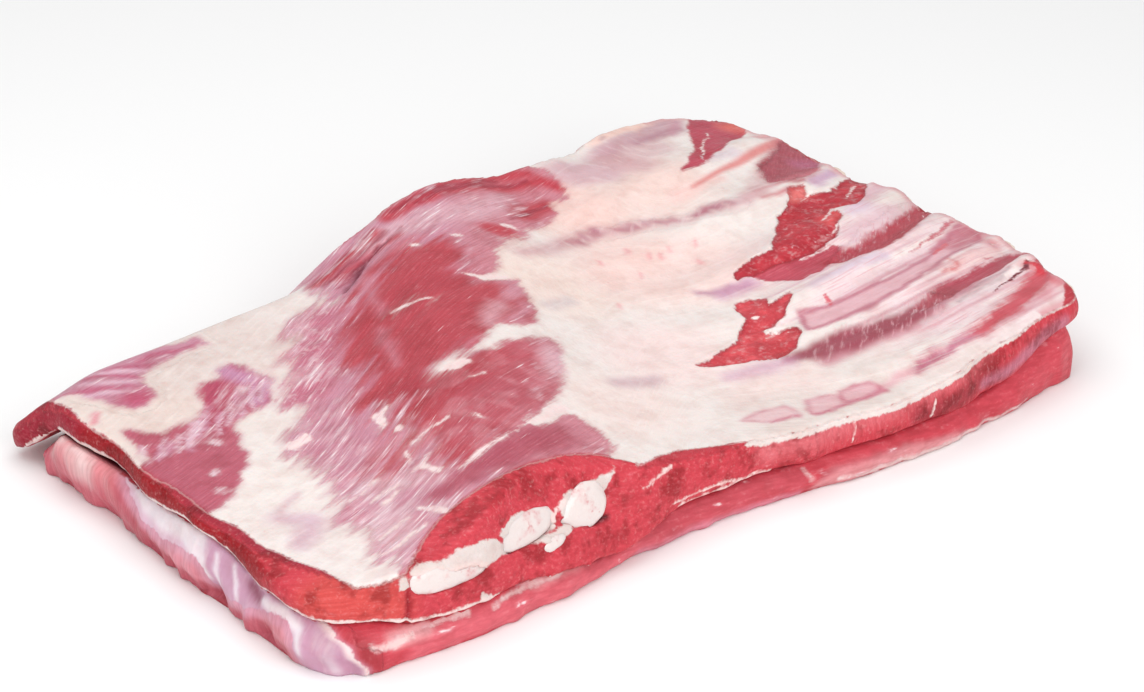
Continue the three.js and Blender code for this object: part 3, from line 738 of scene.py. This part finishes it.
ORANGE_MUSCLE = [(-266, 18), (-266, 46), (-224, 47), (-219, 30), (-222, 18)]
BREAST_FAT = [
    [(-216, 45.5), (-212, 48), (-201, 47.5), (-193, 50), (-182, 50.6), (-169, 48), (-163, 44), (-150, 36.5),
     (-137, 34), (-134, 32.5), (-150, 34.5), (-165, 38), (-174, 37), (-184.5, 34.5), (-196, 35),
     (-210, 38)],
    [(-164, 48.5), (-152, 50), (-139, 47.5), (-126, 44.5), (-124, 41), (-127, 36.5), (-137, 34),
     (-157, 40)],
    [(-120, 45), (-110, 48), (-93, 47.5), (-83, 49.5), (-91, 42), (-98, 39), (-101, 34.5), (-106, 32.5),
     (-114, 33.5), (-120, 39)],
    [(-138, 35), (-120, 35.5), (-118, 31), (-134, 28.5)], [(-222, 39), (-217, 40), (-218, 46), (-222, 45)],
    [(-247, 18.5), (-246, 22), (-226, 22), (-221, 18)], [(-181, 16), (-179.5, 25), (-168, 16)],
]
# Tints on the front cut. The last stroke is painted shade in the crease near the front-left corner, which
# is also cut in below.
CUT_TINTS_AND_CREASE_SHADE = (
    ([(10, 30, 5), (60, 34, 5), (150, 40, 4)], "d97a80", 8, 0.6),
    ([(100, 24, 4), (165, 28, 4)], "a3323d", 6, 1),
    ([(150, 25, 2), (172, 29, 3), (195, 35, 3.5), (216, 38, 3)], "bd7488", 4, 0.8),
    ([(-219, 22, 1.5), (-218, 38, 1)], "9c1c28", 2.4, 1),
)
orange = np.minimum(inside(face, ORANGE_MUSCLE), -100 - y)
skin.stain_muscle(np.where(cut, orange, OUTSIDE), "cd4c49", 12)
for stroke, colour, fade, strength in CUT_TINTS_AND_CREASE_SHADE:
    skin.stain_muscle(on_front(along(face, stroke)), colour, fade, strength)
for outline in BREAST_FAT:
    skin.fatten(np.where(cut & (y < -100), inside(face, outline), OUTSIDE), "d2c5c1", 0.5)
FAT_SEAMS = (
    [(-72, 38, 0.5), (-52, 40.5, 0.9)], [(-127, 40, 0.8), (-119, 44, 0.9)],
    [(-53, 22, 0.5), (-20, 23.5, 0.9), (-8, 20, 0.5)], [(-50, 19, 0.5), (0, 20.5, 0.9), (10, 18, 0.6)],
    [(58, 21, 0.3), (61, 30, 0.7)], [(108, 22, 0.4), (112, 32, 0.8)],
)
for stroke in FAT_SEAMS:
    skin.fatten(on_front(along(face, stroke)), "efccc8", 0.6)
# Painted shade: the slit in the front cut is painted near-black, and it is also cut in below.
slit = on_front(along(face, [(-121, 36, 0.6), (-110, 32.5, 1.6), (-96, 29, 0.8)]))
skin.stain_muscle(slit, "4a0c14", 1.6)
skin.stain_muscle(on_flank(np.minimum(44 - z, y + 70)), "960a16", 16)
skin.stain_muscle(on_flank(y - 100), "9c1b31", 12)
skin.fatten(on_flank(1.3 + ease(y, 60, 85) - 4 * ease(y, 116, 126) - foot), "e6d2cf", 0.6)
skin.fatten(on_front(1.2 - foot - 3 * ease(x, -175, -160)), "e8d3cf", 0.6)

# The far cut and the sawn end: muscles of several reds, with broken seams of fat between them.
far_cut = np.where(cut & shown & (np.maximum(normal[:, 0], normal[:, 1]) > 0.5), 0, OUTSIDE)
below = np.column_stack([x - y, -rim]) + waver
FAR_MUSCLES = (((70, 9), 31, "b34653", 4), ((45, 7), 32, "d0727a", 1), ((90, 12), 33, "a8303f", 2))
SAWN_FROM_X = 235
for size, seed, colour, reach in FAR_MUSCLES:
    skin.stain_muscle(far_cut + 9 * grain(below / size, 1, seed) + reach - 4, colour, 6, 0.8)
for depth, drift, width, seed in ((5, 2, 0.8, 34), (15, 7, 1, 35)):
    level = depth + drift * grain(below[:, :1] / 60, 1, seed)
    seam = width * (0.1 + grain(below[:, :1] / 35, 1, seed + 3)) - np.abs(below[:, 1] - level)
    skin.fatten(np.where(x < SAWN_FROM_X, far_cut + seam, OUTSIDE), "dfb9b7", 0.9)
for level, at_y, reach in ((33, 135, 14), (30, 74, 16), (27, 24, 12), (26, -64, 10)):
    seam = 0.9 - np.abs(z - level - 2 * grain(plan / 12, 1, 41))
    seam -= 3 * ease(np.abs(y - at_y), reach - 6, reach)
    skin.fatten(np.where(x > SAWN_FROM_X, far_cut + seam, OUTSIDE), "dfb9b7", 0.8)

# Relief: fibres stand up, and the cut faces are uneven.
lift += 0.7 * grain(place, 38, 11) + 0.3 * grain(place, 15, 12)
lift += cut * (0.7 * grain(place, 17, 13) + 0.4 * grain(place, 7, 14))
lift += ~cut * ease(midriff, -2, 6) * 0.45 * long_grain(fibre_along, fibre_across, (55, 5.2), 15)
lift += ~cut * striped * 0.3 * long_grain(fibre_along, fibre_across, (70, 4.5), 16)
lift += 0.6 * on_top(ease(crumbling, -6, 4)).clip(0) * grain(place, 6, 19)
RIDGE_FOLD = [(-68, 107, 1), (-55, 114, 2.8), (-43, 120, 1.6), (-26, 124, 0.8)]
RIDGE_SHADE = [(-67, 108, 0.5), (-54, 114, 1.8), (-44, 119, 0.8), (-28, 123, 0.3)]
SPLIT = [(205, -118, 0.3), (240, -110, 1.5)]
lift -= 2.4 * on_top(ease(along(plan, RIDGE_FOLD), -1.5, 2)).clip(0)
lift -= 1.5 * on_top(ease(along(plan, SPLIT), -1.5, 1.5)).clip(0)
lift -= 3.5 * ease(slit, -1.5, 1.5)
lift -= 1.6 * ease(on_front(along(face, [(-219, 20, 1), (-218, 38, 1)])), -2, 1.5)
lift += 0.8 * ease(-skin.lean, -1, 2) * front
skin.stain_muscle(on_top(along(drawn, RIDGE_SHADE)), "7a3044", 3)
moved = place + lift[:, None] * normal
moved[:, 2] += cut_z - z
move_points(wall, moved)
skin.store(wall, fibre, rim - by_flank - by_breast)


class Wire:
    """A value in a material. Arithmetic on it adds the nodes that work it out."""

    def __init__(self, tree, socket=None):
        self.tree = tree
        self.socket = socket

    def node(self, kind, settings=None, inputs=None, output=0):
        made = self.tree.nodes.new("ShaderNode" + kind)
        for name, value in (settings or {}).items():
            setattr(made, name, value)
        for name, value in (inputs or {}).items():
            if isinstance(value, Wire):
                self.tree.links.new(value.socket, made.inputs[name])
            else:
                made.inputs[name].default_value = value
        return Wire(self.tree, made.outputs[output] if made.outputs else None)

    def maths(self, operation, *values):
        return self.node("Math", {"operation": operation}, dict(enumerate(values)))

    def __add__(self, other):
        return self.maths("ADD", self, other)

    def __sub__(self, other):
        return self.maths("SUBTRACT", self, other)

    def __rsub__(self, other):
        return self.maths("SUBTRACT", other, self)

    def __mul__(self, other):
        return self.maths("MULTIPLY", self, other)

    def __abs__(self):
        return self.maths("ABSOLUTE", self)

    __radd__ = __add__
    __rmul__ = __mul__

    def ease(self, low, high):
        ends = {"Value": self, "From Min": low, "From Max": high}
        return self.node("MapRange", {"interpolation_type": "SMOOTHSTEP"}, ends)

    def over(self, under, share, blend="MIX"):
        """This colour laid over another one."""
        kind = {"data_type": "RGBA", "blend_type": blend}
        return self.node("Mix", kind, {0: share, 6: under, 7: self}, output=2)

    def axis(self, number):
        return self.node("SeparateXYZ", None, {0: self}, output=number)

    def noise(self, scale, detail, roughness=0.55):
        """Noise on these coordinates. Scale is lumps per unit along each axis."""
        scaled = self.node("Mapping", None, {"Vector": self, "Scale": scale})
        settings = {"Vector": scaled, "Scale": 1, "Detail": detail, "Roughness": roughness}
        return self.node("TexNoise", None, settings)

    def attribute(self, name, output):
        return self.node("Attribute", {"attribute_name": name}, output=output)

    def colour(self, code):
        rgb = self.node("RGB")
        rgb.socket.default_value = (*linear(code), 1)
        return rgb


def new_finish(name):
    """An empty material, and the wire that its nodes start from."""
    material = bpy.data.materials.new(name)
    material.use_nodes = True
    material.node_tree.nodes.clear()
    return material, Wire(material.node_tree)


def meat_finish(name):
    """Raw meat and its lining, from the paint that a Skin stored on the mesh."""
    material, start = new_finish(name)
    spot_at = start.node("TexCoord", output="Object")
    edge = start.attribute("edge", "Vector")
    fibres = start.attribute("fibre", "Vector")
    lean, soft, rim_away = (edge.axis(number) for number in range(3))
    marbled = fibres.axis(2)
    crumbs = start.attribute("muscle", "Alpha")
    fine = spot_at.noise((430, 430, 430), 3)
    lumps = spot_at.noise((150, 150, 150), 2)
    mottle = spot_at.noise((55, 55, 55), 3)
    strand = fibres.noise((1 / STRAND[0], 1 / STRAND[1], 0), 3)
    streak = fibres.noise((1 / STREAK[0], 1 / STREAK[1], 0), 3)
    wisps = streak * 0.45 + strand * 0.2 + mottle * 0.35
    ragged = lean + (fine + lumps - 1) * 2.4 + (strand + streak - 1) * soft * 2.2
    bare = ragged.ease(soft * -0.9 - 0.2, soft * 0.9 + 0.2)
    glow = ragged.ease(soft * -3 - 1, soft) * soft.ease(0.8, 2.5)
    raw = (0 - rim_away).ease(-0.5, 0.5)

    flesh = start.attribute("muscle", "Color")
    flesh = start.colour("d9b4b4").over(flesh, mottle.ease(0.45, 0.65) * 0.4, "MULTIPLY")
    flesh = start.colour("c39a9e").over(flesh, (0.6 - strand).ease(0, 0.25) * 0.26, "MULTIPLY")
    blotches = (mottle + lumps).ease(0.98, 1.24) * raw
    flesh = start.colour("b88083").over(flesh, blotches * 0.6, "MULTIPLY")
    # Painted glints: pale flecks on the raw cut faces.
    flesh = start.colour("f0aaa8").over(flesh, (0.46 - fine).ease(0, 0.22) * raw * 0.2)
    # Pale flecks over all the meat, partly fat and partly painted glints.
    flesh = start.colour("e9a3a9").over(flesh, (strand * 0.6 + fine * 0.4).ease(0.52, 0.7) * 0.18)
    veil = wisps.ease(0.68 - marbled * 0.3, 0.78 - marbled * 0.12)
    flesh = start.colour("e6cad2").over(flesh, veil * 0.8)
    flesh = start.colour("f0e2e2").over(flesh, (strand + streak + marbled * 0.22).ease(1.34, 1.5) * 0.75)
    crumbly = (lumps + fine * 0.7 + crumbs * 0.22).ease(0.9, 1.24)
    flesh = start.colour("ecdcdc").over(flesh, crumbly * crumbs)

    tissue = start.attribute("fat", "Color")
    tissue = start.colour("eee2df").over(tissue, mottle.ease(0.42, 0.68) * 0.45, "MULTIPLY")
    tissue = start.colour("f2e8e6").over(tissue, lumps.ease(0.45, 0.7) * 0.35, "MULTIPLY")
    stripes = (strand * 0.5 + streak * 0.5).ease(0.5, 0.64) * marbled
    tissue = start.colour("cf929d").over(tissue, stripes * 0.8)
    tissue = start.colour("fbf4f0").over(tissue, streak.ease(0.5, 0.72) * 0.15)
    tissue = start.colour("dc9ca3").over(tissue, (fine + mottle * 0.6).ease(1.02, 1.12) * 0.3)
    tissue = flesh.over(tissue, glow * 0.4)
    colour = flesh.over(tissue, bare)
    line = 1 - abs(rim_away + (fine + lumps - 1) * 2).ease(0.1, 0.9)
    colour = start.colour("e9c9c5").over(colour, line * 0.3)

    rough = 0.34 + fine * 0.2 + raw * 0.1
    gloss = 0.17 - raw * 0.12
    height = strand * bare * 0.7 + fine * (raw * 0.5 + 0.5) + lumps * (raw * 0.5 + 0.6) + streak * 0.4
    bump = start.node("Bump", None, {"Strength": 0.6, "Distance": 0.0009, "Height": height})
    shader = start.node("BsdfPrincipled", None, {
        "Base Color": colour, "Roughness": rough, "Normal": bump, "Specular IOR Level": 0.2,
        "Coat Weight": gloss, "Coat Roughness": 0.2,
        "Subsurface Weight": 0.12, "Subsurface Radius": (1, 0.35, 0.25), "Subsurface Scale": 0.004,
    })
    start.node("OutputMaterial", None, {"Surface": shader})
    return material


wall.data.materials.append(meat_finish("lined_meat"))
wall.data.shade_smooth()
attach(wall, "root")
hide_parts("rib_wall")

# The outer layer: a second sheet of muscle that lies under the rib wall and shows along its sides.
# Silver skin and fat run down over it on the flank side, and a thick round muscle ends it at the sawn edge.
LAYER_VOXEL = 1.5
LAYER_SMOOTHING = 6
LAYER_FACES_LEFT = 0.3
# The paint's distance from a cut's rim, where no rim is near.
NO_RIM = 20.0

layer = sculpting_copy("outer_layer", "outer_layer_meat", LAYER_VOXEL, LAYER_SMOOTHING)
place, normal = points_of(layer)


def between_layers(place, normal):
    """The points that touch the rib wall or the table."""
    middle = (np.abs(place[:, 0]) < 236) & (place[:, 1] > -118) & (place[:, 1] < 100)
    return middle & (np.abs(normal[:, 2]) > 0.8)


thin_out(layer, between_layers(place, normal), LAYER_FACES_LEFT)
place, normal = points_of(layer)
x, y, z = place.T
plan = place[:, :2]
front = ease(-normal[:, 1], *FACING)
left = ease(-normal[:, 0], *FACING)
waver = wobble(place, 14, 21)
waver += wobble(place, 5, 23) * 0.5
face = np.column_stack([x, z]) + waver
side = np.column_stack([y, z]) + waver
skin = Skin(len(place), 10, "ca4653", "e2d2d4")
skin.marbling += 0.3

# The silver skin ends at a white ridge down the front corner. What is beyond the ridge is the flank side.
RIDGE_X = [-240, -245, -246, -248.7, -250]
RIDGE_Z = [4.8, 9.7, 15, 18, 26]
beyond = np.interp(z, RIDGE_Z, RIDGE_X) - x + waver[:, 0] + 12 * ease(y, -100, -80)


def on_lobes(depth):
    return np.minimum(on_flank(depth), beyond)


FRONT_MUSCLES = (
    ([(-222, 0), (-214, 13), (-130, 13), (-60, 9), (-30, 0)], "d4606c", 5),
    ([(30, 0), (42, 9), (75, 11.5), (125, 7), (140, 0)], "c0616a", 3),
)
for outline, colour, fade in FRONT_MUSCLES:
    skin.stain_muscle(on_front(inside(face, outline)), colour, fade)
skin.stain_muscle(on_front(along(face, [(-241, 14, 3), (-237, 7, 4)])), "ab333e", 5)
skin.marbling += 0.1 * front
PALE_EDGE = ([(-226, 14, 2.2), (-208, 14.5, 2.4)], [(-146, 15, 1.4), (-128, 15.5, 2.4), (-104, 13, 2)])
for stroke in PALE_EDGE:
    skin.stain_muscle(on_front(along(face, stroke)), "e3a5a8", 4)
FRONT_FAT = (
    ([(-236, 13, 0.8), (-226, 12.5, 1.8), (-216, 14, 1)], 1.4), ([(-205, 15, 0.8), (-185, 14.5, 1.4)], 1.4),
    ([(-172, 13, 0.3), (-150, 14, 1), (-128, 13, 0.4)], 1.4), ([(30, 13, 0.6), (33, 9, 2)], 2),
    ([(50, 3.5, 1), (90, 2, 1.8), (140, 1.5, 1.8), (185, 2.5, 0.8)], 1.4),
)
for stroke, soft in FRONT_FAT:
    skin.fatten(on_front(along(face, stroke)), "e3c5c3", soft)
FRONT_TINTS = (
    ([(36, 2, 2), (52, 4.5, 3), (75, 6, 3.5), (100, 5, 3), (125, 3.5, 2)], "df999d", 3, 0.85),
    ([(-75, 3, 1.6), (-30, 2.5, 1.8), (24, 1.5, 1.8)], "d58a9c", 3, 0.75),
    ([(-70, 10, 4), (-20, 11, 5), (26, 11, 4)], "bf4c58", 5, 0.8),
)
for stroke, colour, fade, strength in FRONT_TINTS:
    skin.stain_muscle(on_front(along(face, stroke)), colour, fade, strength)
SILVER_SKIN = [
    (66, 42), (62, 27), (52, 22), (45, 21), (31, 17.5), (16, 15.5), (-3, 21), (-16, 22.3), (-23, 17.5),
    (-26, 9), (-40, 9.5), (-58, 13), (-66, 17.5), (-81, 21), (-90, 20.5), (-96, 14.5), (-101, -4),
    (-134, -4), (-134, 42),
]
LOBES = [
    [(18, 13), (-3, 21), (-16, 22), (-23, 17), (-25, 10), (-15, 9), (3, 9)],
    [(-68, 15), (-81, 20), (-90, 20), (-96, 14), (-99, 8), (-86, 8), (-76, 11)],
]
lobes = on_lobes(np.full(len(place), 9.0))
skin.stain_muscle(lobes, "be5867", 3)
skin.marbling *= 1 - 0.9 * ease(lobes, 0, 3)
skin.stain_muscle(on_lobes(y - 62), "c96472", 12)
for outline in LOBES:
    skin.stain_muscle(on_lobes(inside(side, outline)), "dc8d9a", 4)
silver = inside(side, SILVER_SKIN)
skin.stain_muscle(on_lobes(silver + 3.5), "d9a3b6", 4, 0.8)
skin.fatten(on_lobes(silver), "e6dae0", 0.4)
skin.stain_fat(on_lobes(2.5 - np.abs(silver)), "d8b0c4", 3, 0.8)
PURPLE_SKIN = [(-20, 42), (-24, 20), (-26, -5), (-140, -5), (-140, 42)]
skin.stain_fat(on_lobes(inside(side, PURPLE_SKIN)), "c899b1", 5)
# Strokes of silver skin on the lobes. The dark stroke from y -57 to -66 is painted shade in the pinch
# there.
SILVER_STROKES_AND_PINCH_SHADE = (
    ([(-8, 26, 2), (-21, 22, 1.6), (-26, 14, 1)], "e9dde3", 3),
    ([(-30, 28, 0.6), (-32, 20, 1), (-34, 12, 0.6)], "e4d6de", 2),
    ([(-43, 27, 0.6), (-48, 20, 1), (-50, 13, 0.6)], "e6d8e0", 2),
    ([(-57, 24, 2), (-66, 21, 1)], "9a5a70", 4),
    ([(-70, 22, 1.4), (-85, 23.5, 2), (-97, 19, 1.8), (-101, 10, 1)], "e9dde3", 3),
    ([(-112, 19, 0.6), (-114, 12, 1), (-115, 3, 0.8)], "e0d2db", 2),
    ([(-106, 24, 1), (-109, 15, 1)], "d3b3c3", 3),
)
for stroke, colour, fade in SILVER_STROKES_AND_PINCH_SHADE:
    skin.stain_fat(on_lobes(along(side, stroke)), colour, fade)
skin.stain_fat(on_lobes(along(side, [(-110, 20, 3), (-122, 8, 5)])), "b4839a", 8, 0.85)
skin.fatten(np.where((y < -104) & (z < 25), 0.9 - np.abs(beyond), OUTSIDE), "e6d3d2", 0.5)

# Under the flap the top of the layer shows, with painted shade where it goes in below the rib wall.
far_top = np.min([0.8 * (z - 17), 12 * (normal[:, 2] - 0.2), 0.5 * (y - 66)], axis=0)
skin.stain_muscle(far_top, "dc8a90", 5)
FAR_FAT = (
    [(-247, 127, 0.4), (-244, 118, 3), (-244, 108, 0.4)],
    [(-246, 102, 0.4), (-245, 92, 2.6), (-246, 82, 0.4)],
)
for stroke in FAR_FAT:
    skin.stain_muscle(np.minimum(far_top + 1, along(plan + 2 * waver, stroke)), "e9cccb", 5, 0.9)
# Painted shade in the hollow under the flap, where the layer's top goes in below the rib wall.
skin.stain_muscle(np.minimum(far_top, x + 240), "8a2a36", 3)

# The far side and the sawn end, as on the rib wall.
far_side = np.where((front < 0.5) & (left < 0.5) & (np.abs(normal[:, 2]) < 0.7), 0, OUTSIDE)
height = np.column_stack([x - y, z]) + waver
for size, seed, colour in (((60, 8), 37, "b83f4d"), ((40, 7), 38, "db7f86")):
    skin.stain_muscle(far_side + 9 * grain(height / size, 1, seed) - 2, colour, 6, 0.8)
level = 4 * grain(height[:, :1] / 70, 1, 40)
seam = 0.9 * grain(height[:, :1] / 40, 1, 39) - np.abs(height[:, 1] - 11 - level)
skin.fatten(far_side + seam, "e3c6c3", 0.7)

# Relief: the lobes are pinched off from one another, and the far part hangs in uneven pleats.
lift = 0.9 * grain(place, 24, 25) + 0.6 * grain(place, 9, 26)
pleats = long_grain(y, z, (6.5, 26), 27) + 0.5 * long_grain(y, z, (3.2, 16), 29)
lift += left * (0.4 + 1.3 * ease(y, 55, 80)) * pleats * (1 - 0.6 * ease(z, 12, 22))
lift -= left * ease(y, 55, 80) * 2.4 * ease(-pleats, 0, 0.8) * (1 - ease(z, 0, 9))
for at_y, reach, depth in ((-27, 9, 4.2), (-75, 10, 3.6)):
    lift -= left * depth * np.exp(-(((y - at_y) / reach) ** 2)) * (1 - ease(z, 10, 22))
lift -= left * 2.6 * np.exp(-(((y + 61) / 6) ** 2)) * ease(z, 12, 22)
lift += 4.5 * np.exp(-((x + 250) ** 2 + (y + 115) ** 2) / 17**2) * (1 - ease(z, 12, 24))
lift += left * (1 - ease(y, 40, 70)) * long_grain(y, z, (7, 30), 28)
lift += (2.2 * left + 1.2 * front * (1 - left)) * (1 - ease(z, 4, 12)) * grain(plan, 8, 30)
lift *= 1 - ease(np.abs(normal[:, 2]), 0.7, 0.95)
moved = place + lift[:, None] * normal

# The lip under the flap stands up and out, the foot below it is drawn in, and so is the foot of the front.
LIP_RISE = 6.5
LIP_REACH = 5.5
FLANK_FOOT_IN = 2.5
FRONT_FOOT_IN = 3
under_flap = ease(y, 50, 66) * (1 - ease(y, 112, 132)) * ease(-x, 234, 246)
moved[:, 2] += LIP_RISE * under_flap * ease(z, 10, 20)
moved[:, 0] += FLANK_FOOT_IN * ease(-x, 236, 248) * (1 - ease(z, 3, 12))
moved[:, 0] -= LIP_REACH * under_flap * ease(z, 8, 20)
front_foot = ease(-y, 120, 132) * np.exp(-(((x + 90) / 40) ** 2)) * (1 - ease(z, 12, 20))
moved[:, 1] += FRONT_FOOT_IN * front_foot
moved[:, 2] = np.maximum(moved[:, 2], 0)
move_points(layer, moved)
fibre = strands(x + y, z, 9, 2.4)
hanging = strands(z + 0.4 * y, y, 12, 2)
fibre[left > 0.5] = hanging[left > 0.5]
skin.store(layer, fibre, np.full(len(place), NO_RIM))
layer.data.materials.append(meat_finish("outer_meat"))
layer.data.shade_smooth()
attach(layer, "root")
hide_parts("outer_layer")

# The breastbone: four lumps of white, glassy gristle, sliced through by the knife that made the front cut.
# They grow into the fat around them, so they fill their pockets and bulge a little out of the cut.
def gristle_finish():
    material, start = new_finish("gristle")
    spot_at = start.node("TexCoord", output="Object")
    fine = spot_at.noise((420, 420, 420), 3)
    lumps = spot_at.noise((130, 130, 130), 3)
    colour = start.colour("d3a7a7").over(start.colour("dbcfcc"), lumps.ease(0.5, 0.7) * 0.6)
    colour = start.colour("c98a8b").over(colour, (lumps + fine).ease(1.16, 1.3) * 0.6)
    bump = start.node("Bump", None, {"Strength": 0.5, "Distance": 0.0008, "Height": fine * 0.6 + lumps})
    shader = start.node("BsdfPrincipled", None, {
        "Base Color": colour, "Roughness": 0.3, "Normal": bump, "Coat Weight": 0.15, "Coat Roughness": 0.15,
        "Subsurface Weight": 0.2, "Subsurface Radius": (1, 0.7, 0.6), "Subsurface Scale": 0.004,
    })
    start.node("OutputMaterial", None, {"Surface": shader})
    return material


GRISTLE_VOXEL = 0.9
GRISTLE_SMOOTHING = 8
gristle = gristle_finish()
wall_place, wall_normal = points_of(wall)
for number in range(1, 5):
    node = f"cartilage_{number}"
    lump = sculpting_copy(node, f"gristle_{number}", GRISTLE_VOXEL, GRISTLE_SMOOTHING)
    place, normal = points_of(lump)
    bulge = ease(-normal[:, 1], -0.9, 0) * ease(place[:, 1].min() + 12 - place[:, 1], 0, 6)
    lift = 0.6 * grain(place, 12, 40 + number) + 0.3 * grain(place, 5, 50 + number) + 1.8 * bulge
    place = place + lift[:, None] * normal
    # What stands out of the plane of the cut around the lump is pressed back.
    near = (np.linalg.norm(wall_place - place.mean(axis=0), axis=1) < 32) & (wall_normal[:, 1] < -0.4)
    level = np.column_stack([np.ones(near.sum()), wall_place[near][:, [0, 2]]])
    slope = np.linalg.lstsq(level, wall_place[near, 1], rcond=None)[0]
    proud = slope[0] + place[:, [0, 2]] @ slope[1:] - place[:, 1]
    place[:, 1] += 0.6 * np.clip(proud - 0.4, 0, None)
    move_points(lump, place)
    lump.data.materials.append(gristle)
    lump.data.shade_smooth()
    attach(lump, "root")
    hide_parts(node)

# The ribs: seven flat bones under the lining, sawn through at the right side.
# The saw shows a ring of hard bone around red, spongy marrow.
# The thickness of the hard bone, and how far a sawn end stands out of the meat.
RIB_SHELL = 1.2
SAWN_PROUD = 0.9
BONE_VOXEL = 1.1
BONE_SMOOTHING = 6
BONE_FACES_LEFT = 0.25


def bone_finish():
    material, start = new_finish("bone")
    spot_at = start.node("TexCoord", output="Object")
    fine = spot_at.noise((700, 700, 700), 3)
    sponge = spot_at.node("TexVoronoi", None, {"Vector": spot_at, "Scale": 700})
    inward = start.attribute("inward", "Fac")
    marrow = (inward + (fine - 0.5) * 1.4).ease(RIB_SHELL - 0.4, RIB_SHELL + 0.4)
    pith = start.colour("8e2f2c").over(start.colour("bb5f58"), sponge.ease(0.25, 0.6))
    colour = pith.over(start.colour("e0cdbf"), marrow)
    colour = start.colour("d9a9a0").over(colour, fine.ease(0.52, 0.7) * 0.4)
    bump = start.node("Bump", None, {"Strength": 0.5, "Distance": 0.0006, "Height": fine - sponge * marrow})
    shader = start.node("BsdfPrincipled", None, {"Base Color": colour, "Roughness": 0.45, "Normal": bump})
    start.node("OutputMaterial", None, {"Surface": shader})
    return material


bone = bone_finish()
for number in range(1, 8):
    node = f"rib_{number}"
    rib = sculpting_copy(node, f"bone_{number}", BONE_VOXEL, BONE_SMOOTHING)
    place, normal = points_of(rib)
    thin_out(rib, place[:, 0] < place[:, 0].max() - 14, BONE_FACES_LEFT)
    place, normal = points_of(rib)
    sawn_end = place[:, 0].max()
    inward = rim_distance(rib, place, normal[:, 0] - 0.75, place[:, 0] > sawn_end - 8)
    kept = rib.data.attributes.new("inward", "FLOAT", "POINT")
    kept.data.foreach_set("value", inward.astype(np.float32))
    place[:, 0] += SAWN_PROUD * ease(place[:, 0], sawn_end - 20, sawn_end - 2)
    move_points(rib, place)
    rib.data.materials.append(bone)
    rib.data.shade_smooth()
    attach(rib, "root")
    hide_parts(node)

# The room: a pale floor, soft light from above and from the front, and the camera of the photograph.
bpy.ops.mesh.primitive_plane_add(size=8)
floor = bpy.context.object
floor.name = "floor"
paper = bpy.data.materials.new("paper")
paper.use_nodes = True
paper_inputs = paper.node_tree.nodes["Principled BSDF"].inputs
paper_inputs["Base Color"].default_value = (0.9, 0.9, 0.9, 1)
paper_inputs["Roughness"].default_value = 0.8
floor.data.materials.append(paper)

scene = bpy.context.scene
scene.view_settings.view_transform = "Standard"
world = bpy.data.worlds.new("studio")
world.use_nodes = True
sky = world.node_tree.nodes["Background"].inputs
sky["Color"].default_value = (1, 1, 1, 1)
sky["Strength"].default_value = 0.55
scene.world = world


def soft_light(name, at, towards, size, power):
    bpy.ops.object.light_add(type="AREA", location=at)
    lamp = bpy.context.object
    lamp.name = name
    lamp.data.size = size
    lamp.data.energy = power
    lamp.rotation_euler = (Vector(towards) - Vector(at)).to_track_quat("-Z", "Y").to_euler()


soft_light("overhead", (-0.2, 0.1, 1.6), (0, 0, 0), size=1.6, power=14.5)
soft_light("flank", (-1.7, -0.5, 0.7), (0, 0, 0.03), size=1.2, power=7)
soft_light("front", (-0.35, -1.7, 0.9), (0, 0, 0.03), size=1.2, power=17)

CAMERA_TARGET = Vector((0.04847, 0.05309, 0))
CAMERA_DISTANCE = 1.767
CAMERA_TURN = math.radians(-42)
CAMERA_RISE = math.radians(28)
CAMERA_LENS = 100
CAMERA_SENSOR = 36
back = Vector((
    math.sin(CAMERA_TURN) * math.cos(CAMERA_RISE),
    -math.cos(CAMERA_TURN) * math.cos(CAMERA_RISE),
    math.sin(CAMERA_RISE),
))
bpy.ops.object.camera_add(location=CAMERA_TARGET + CAMERA_DISTANCE * back)
camera = bpy.context.object
camera.rotation_euler = back.to_track_quat("Z", "Y").to_euler()
camera.data.lens = CAMERA_LENS
camera.data.sensor_width = CAMERA_SENSOR
scene.camera = camera
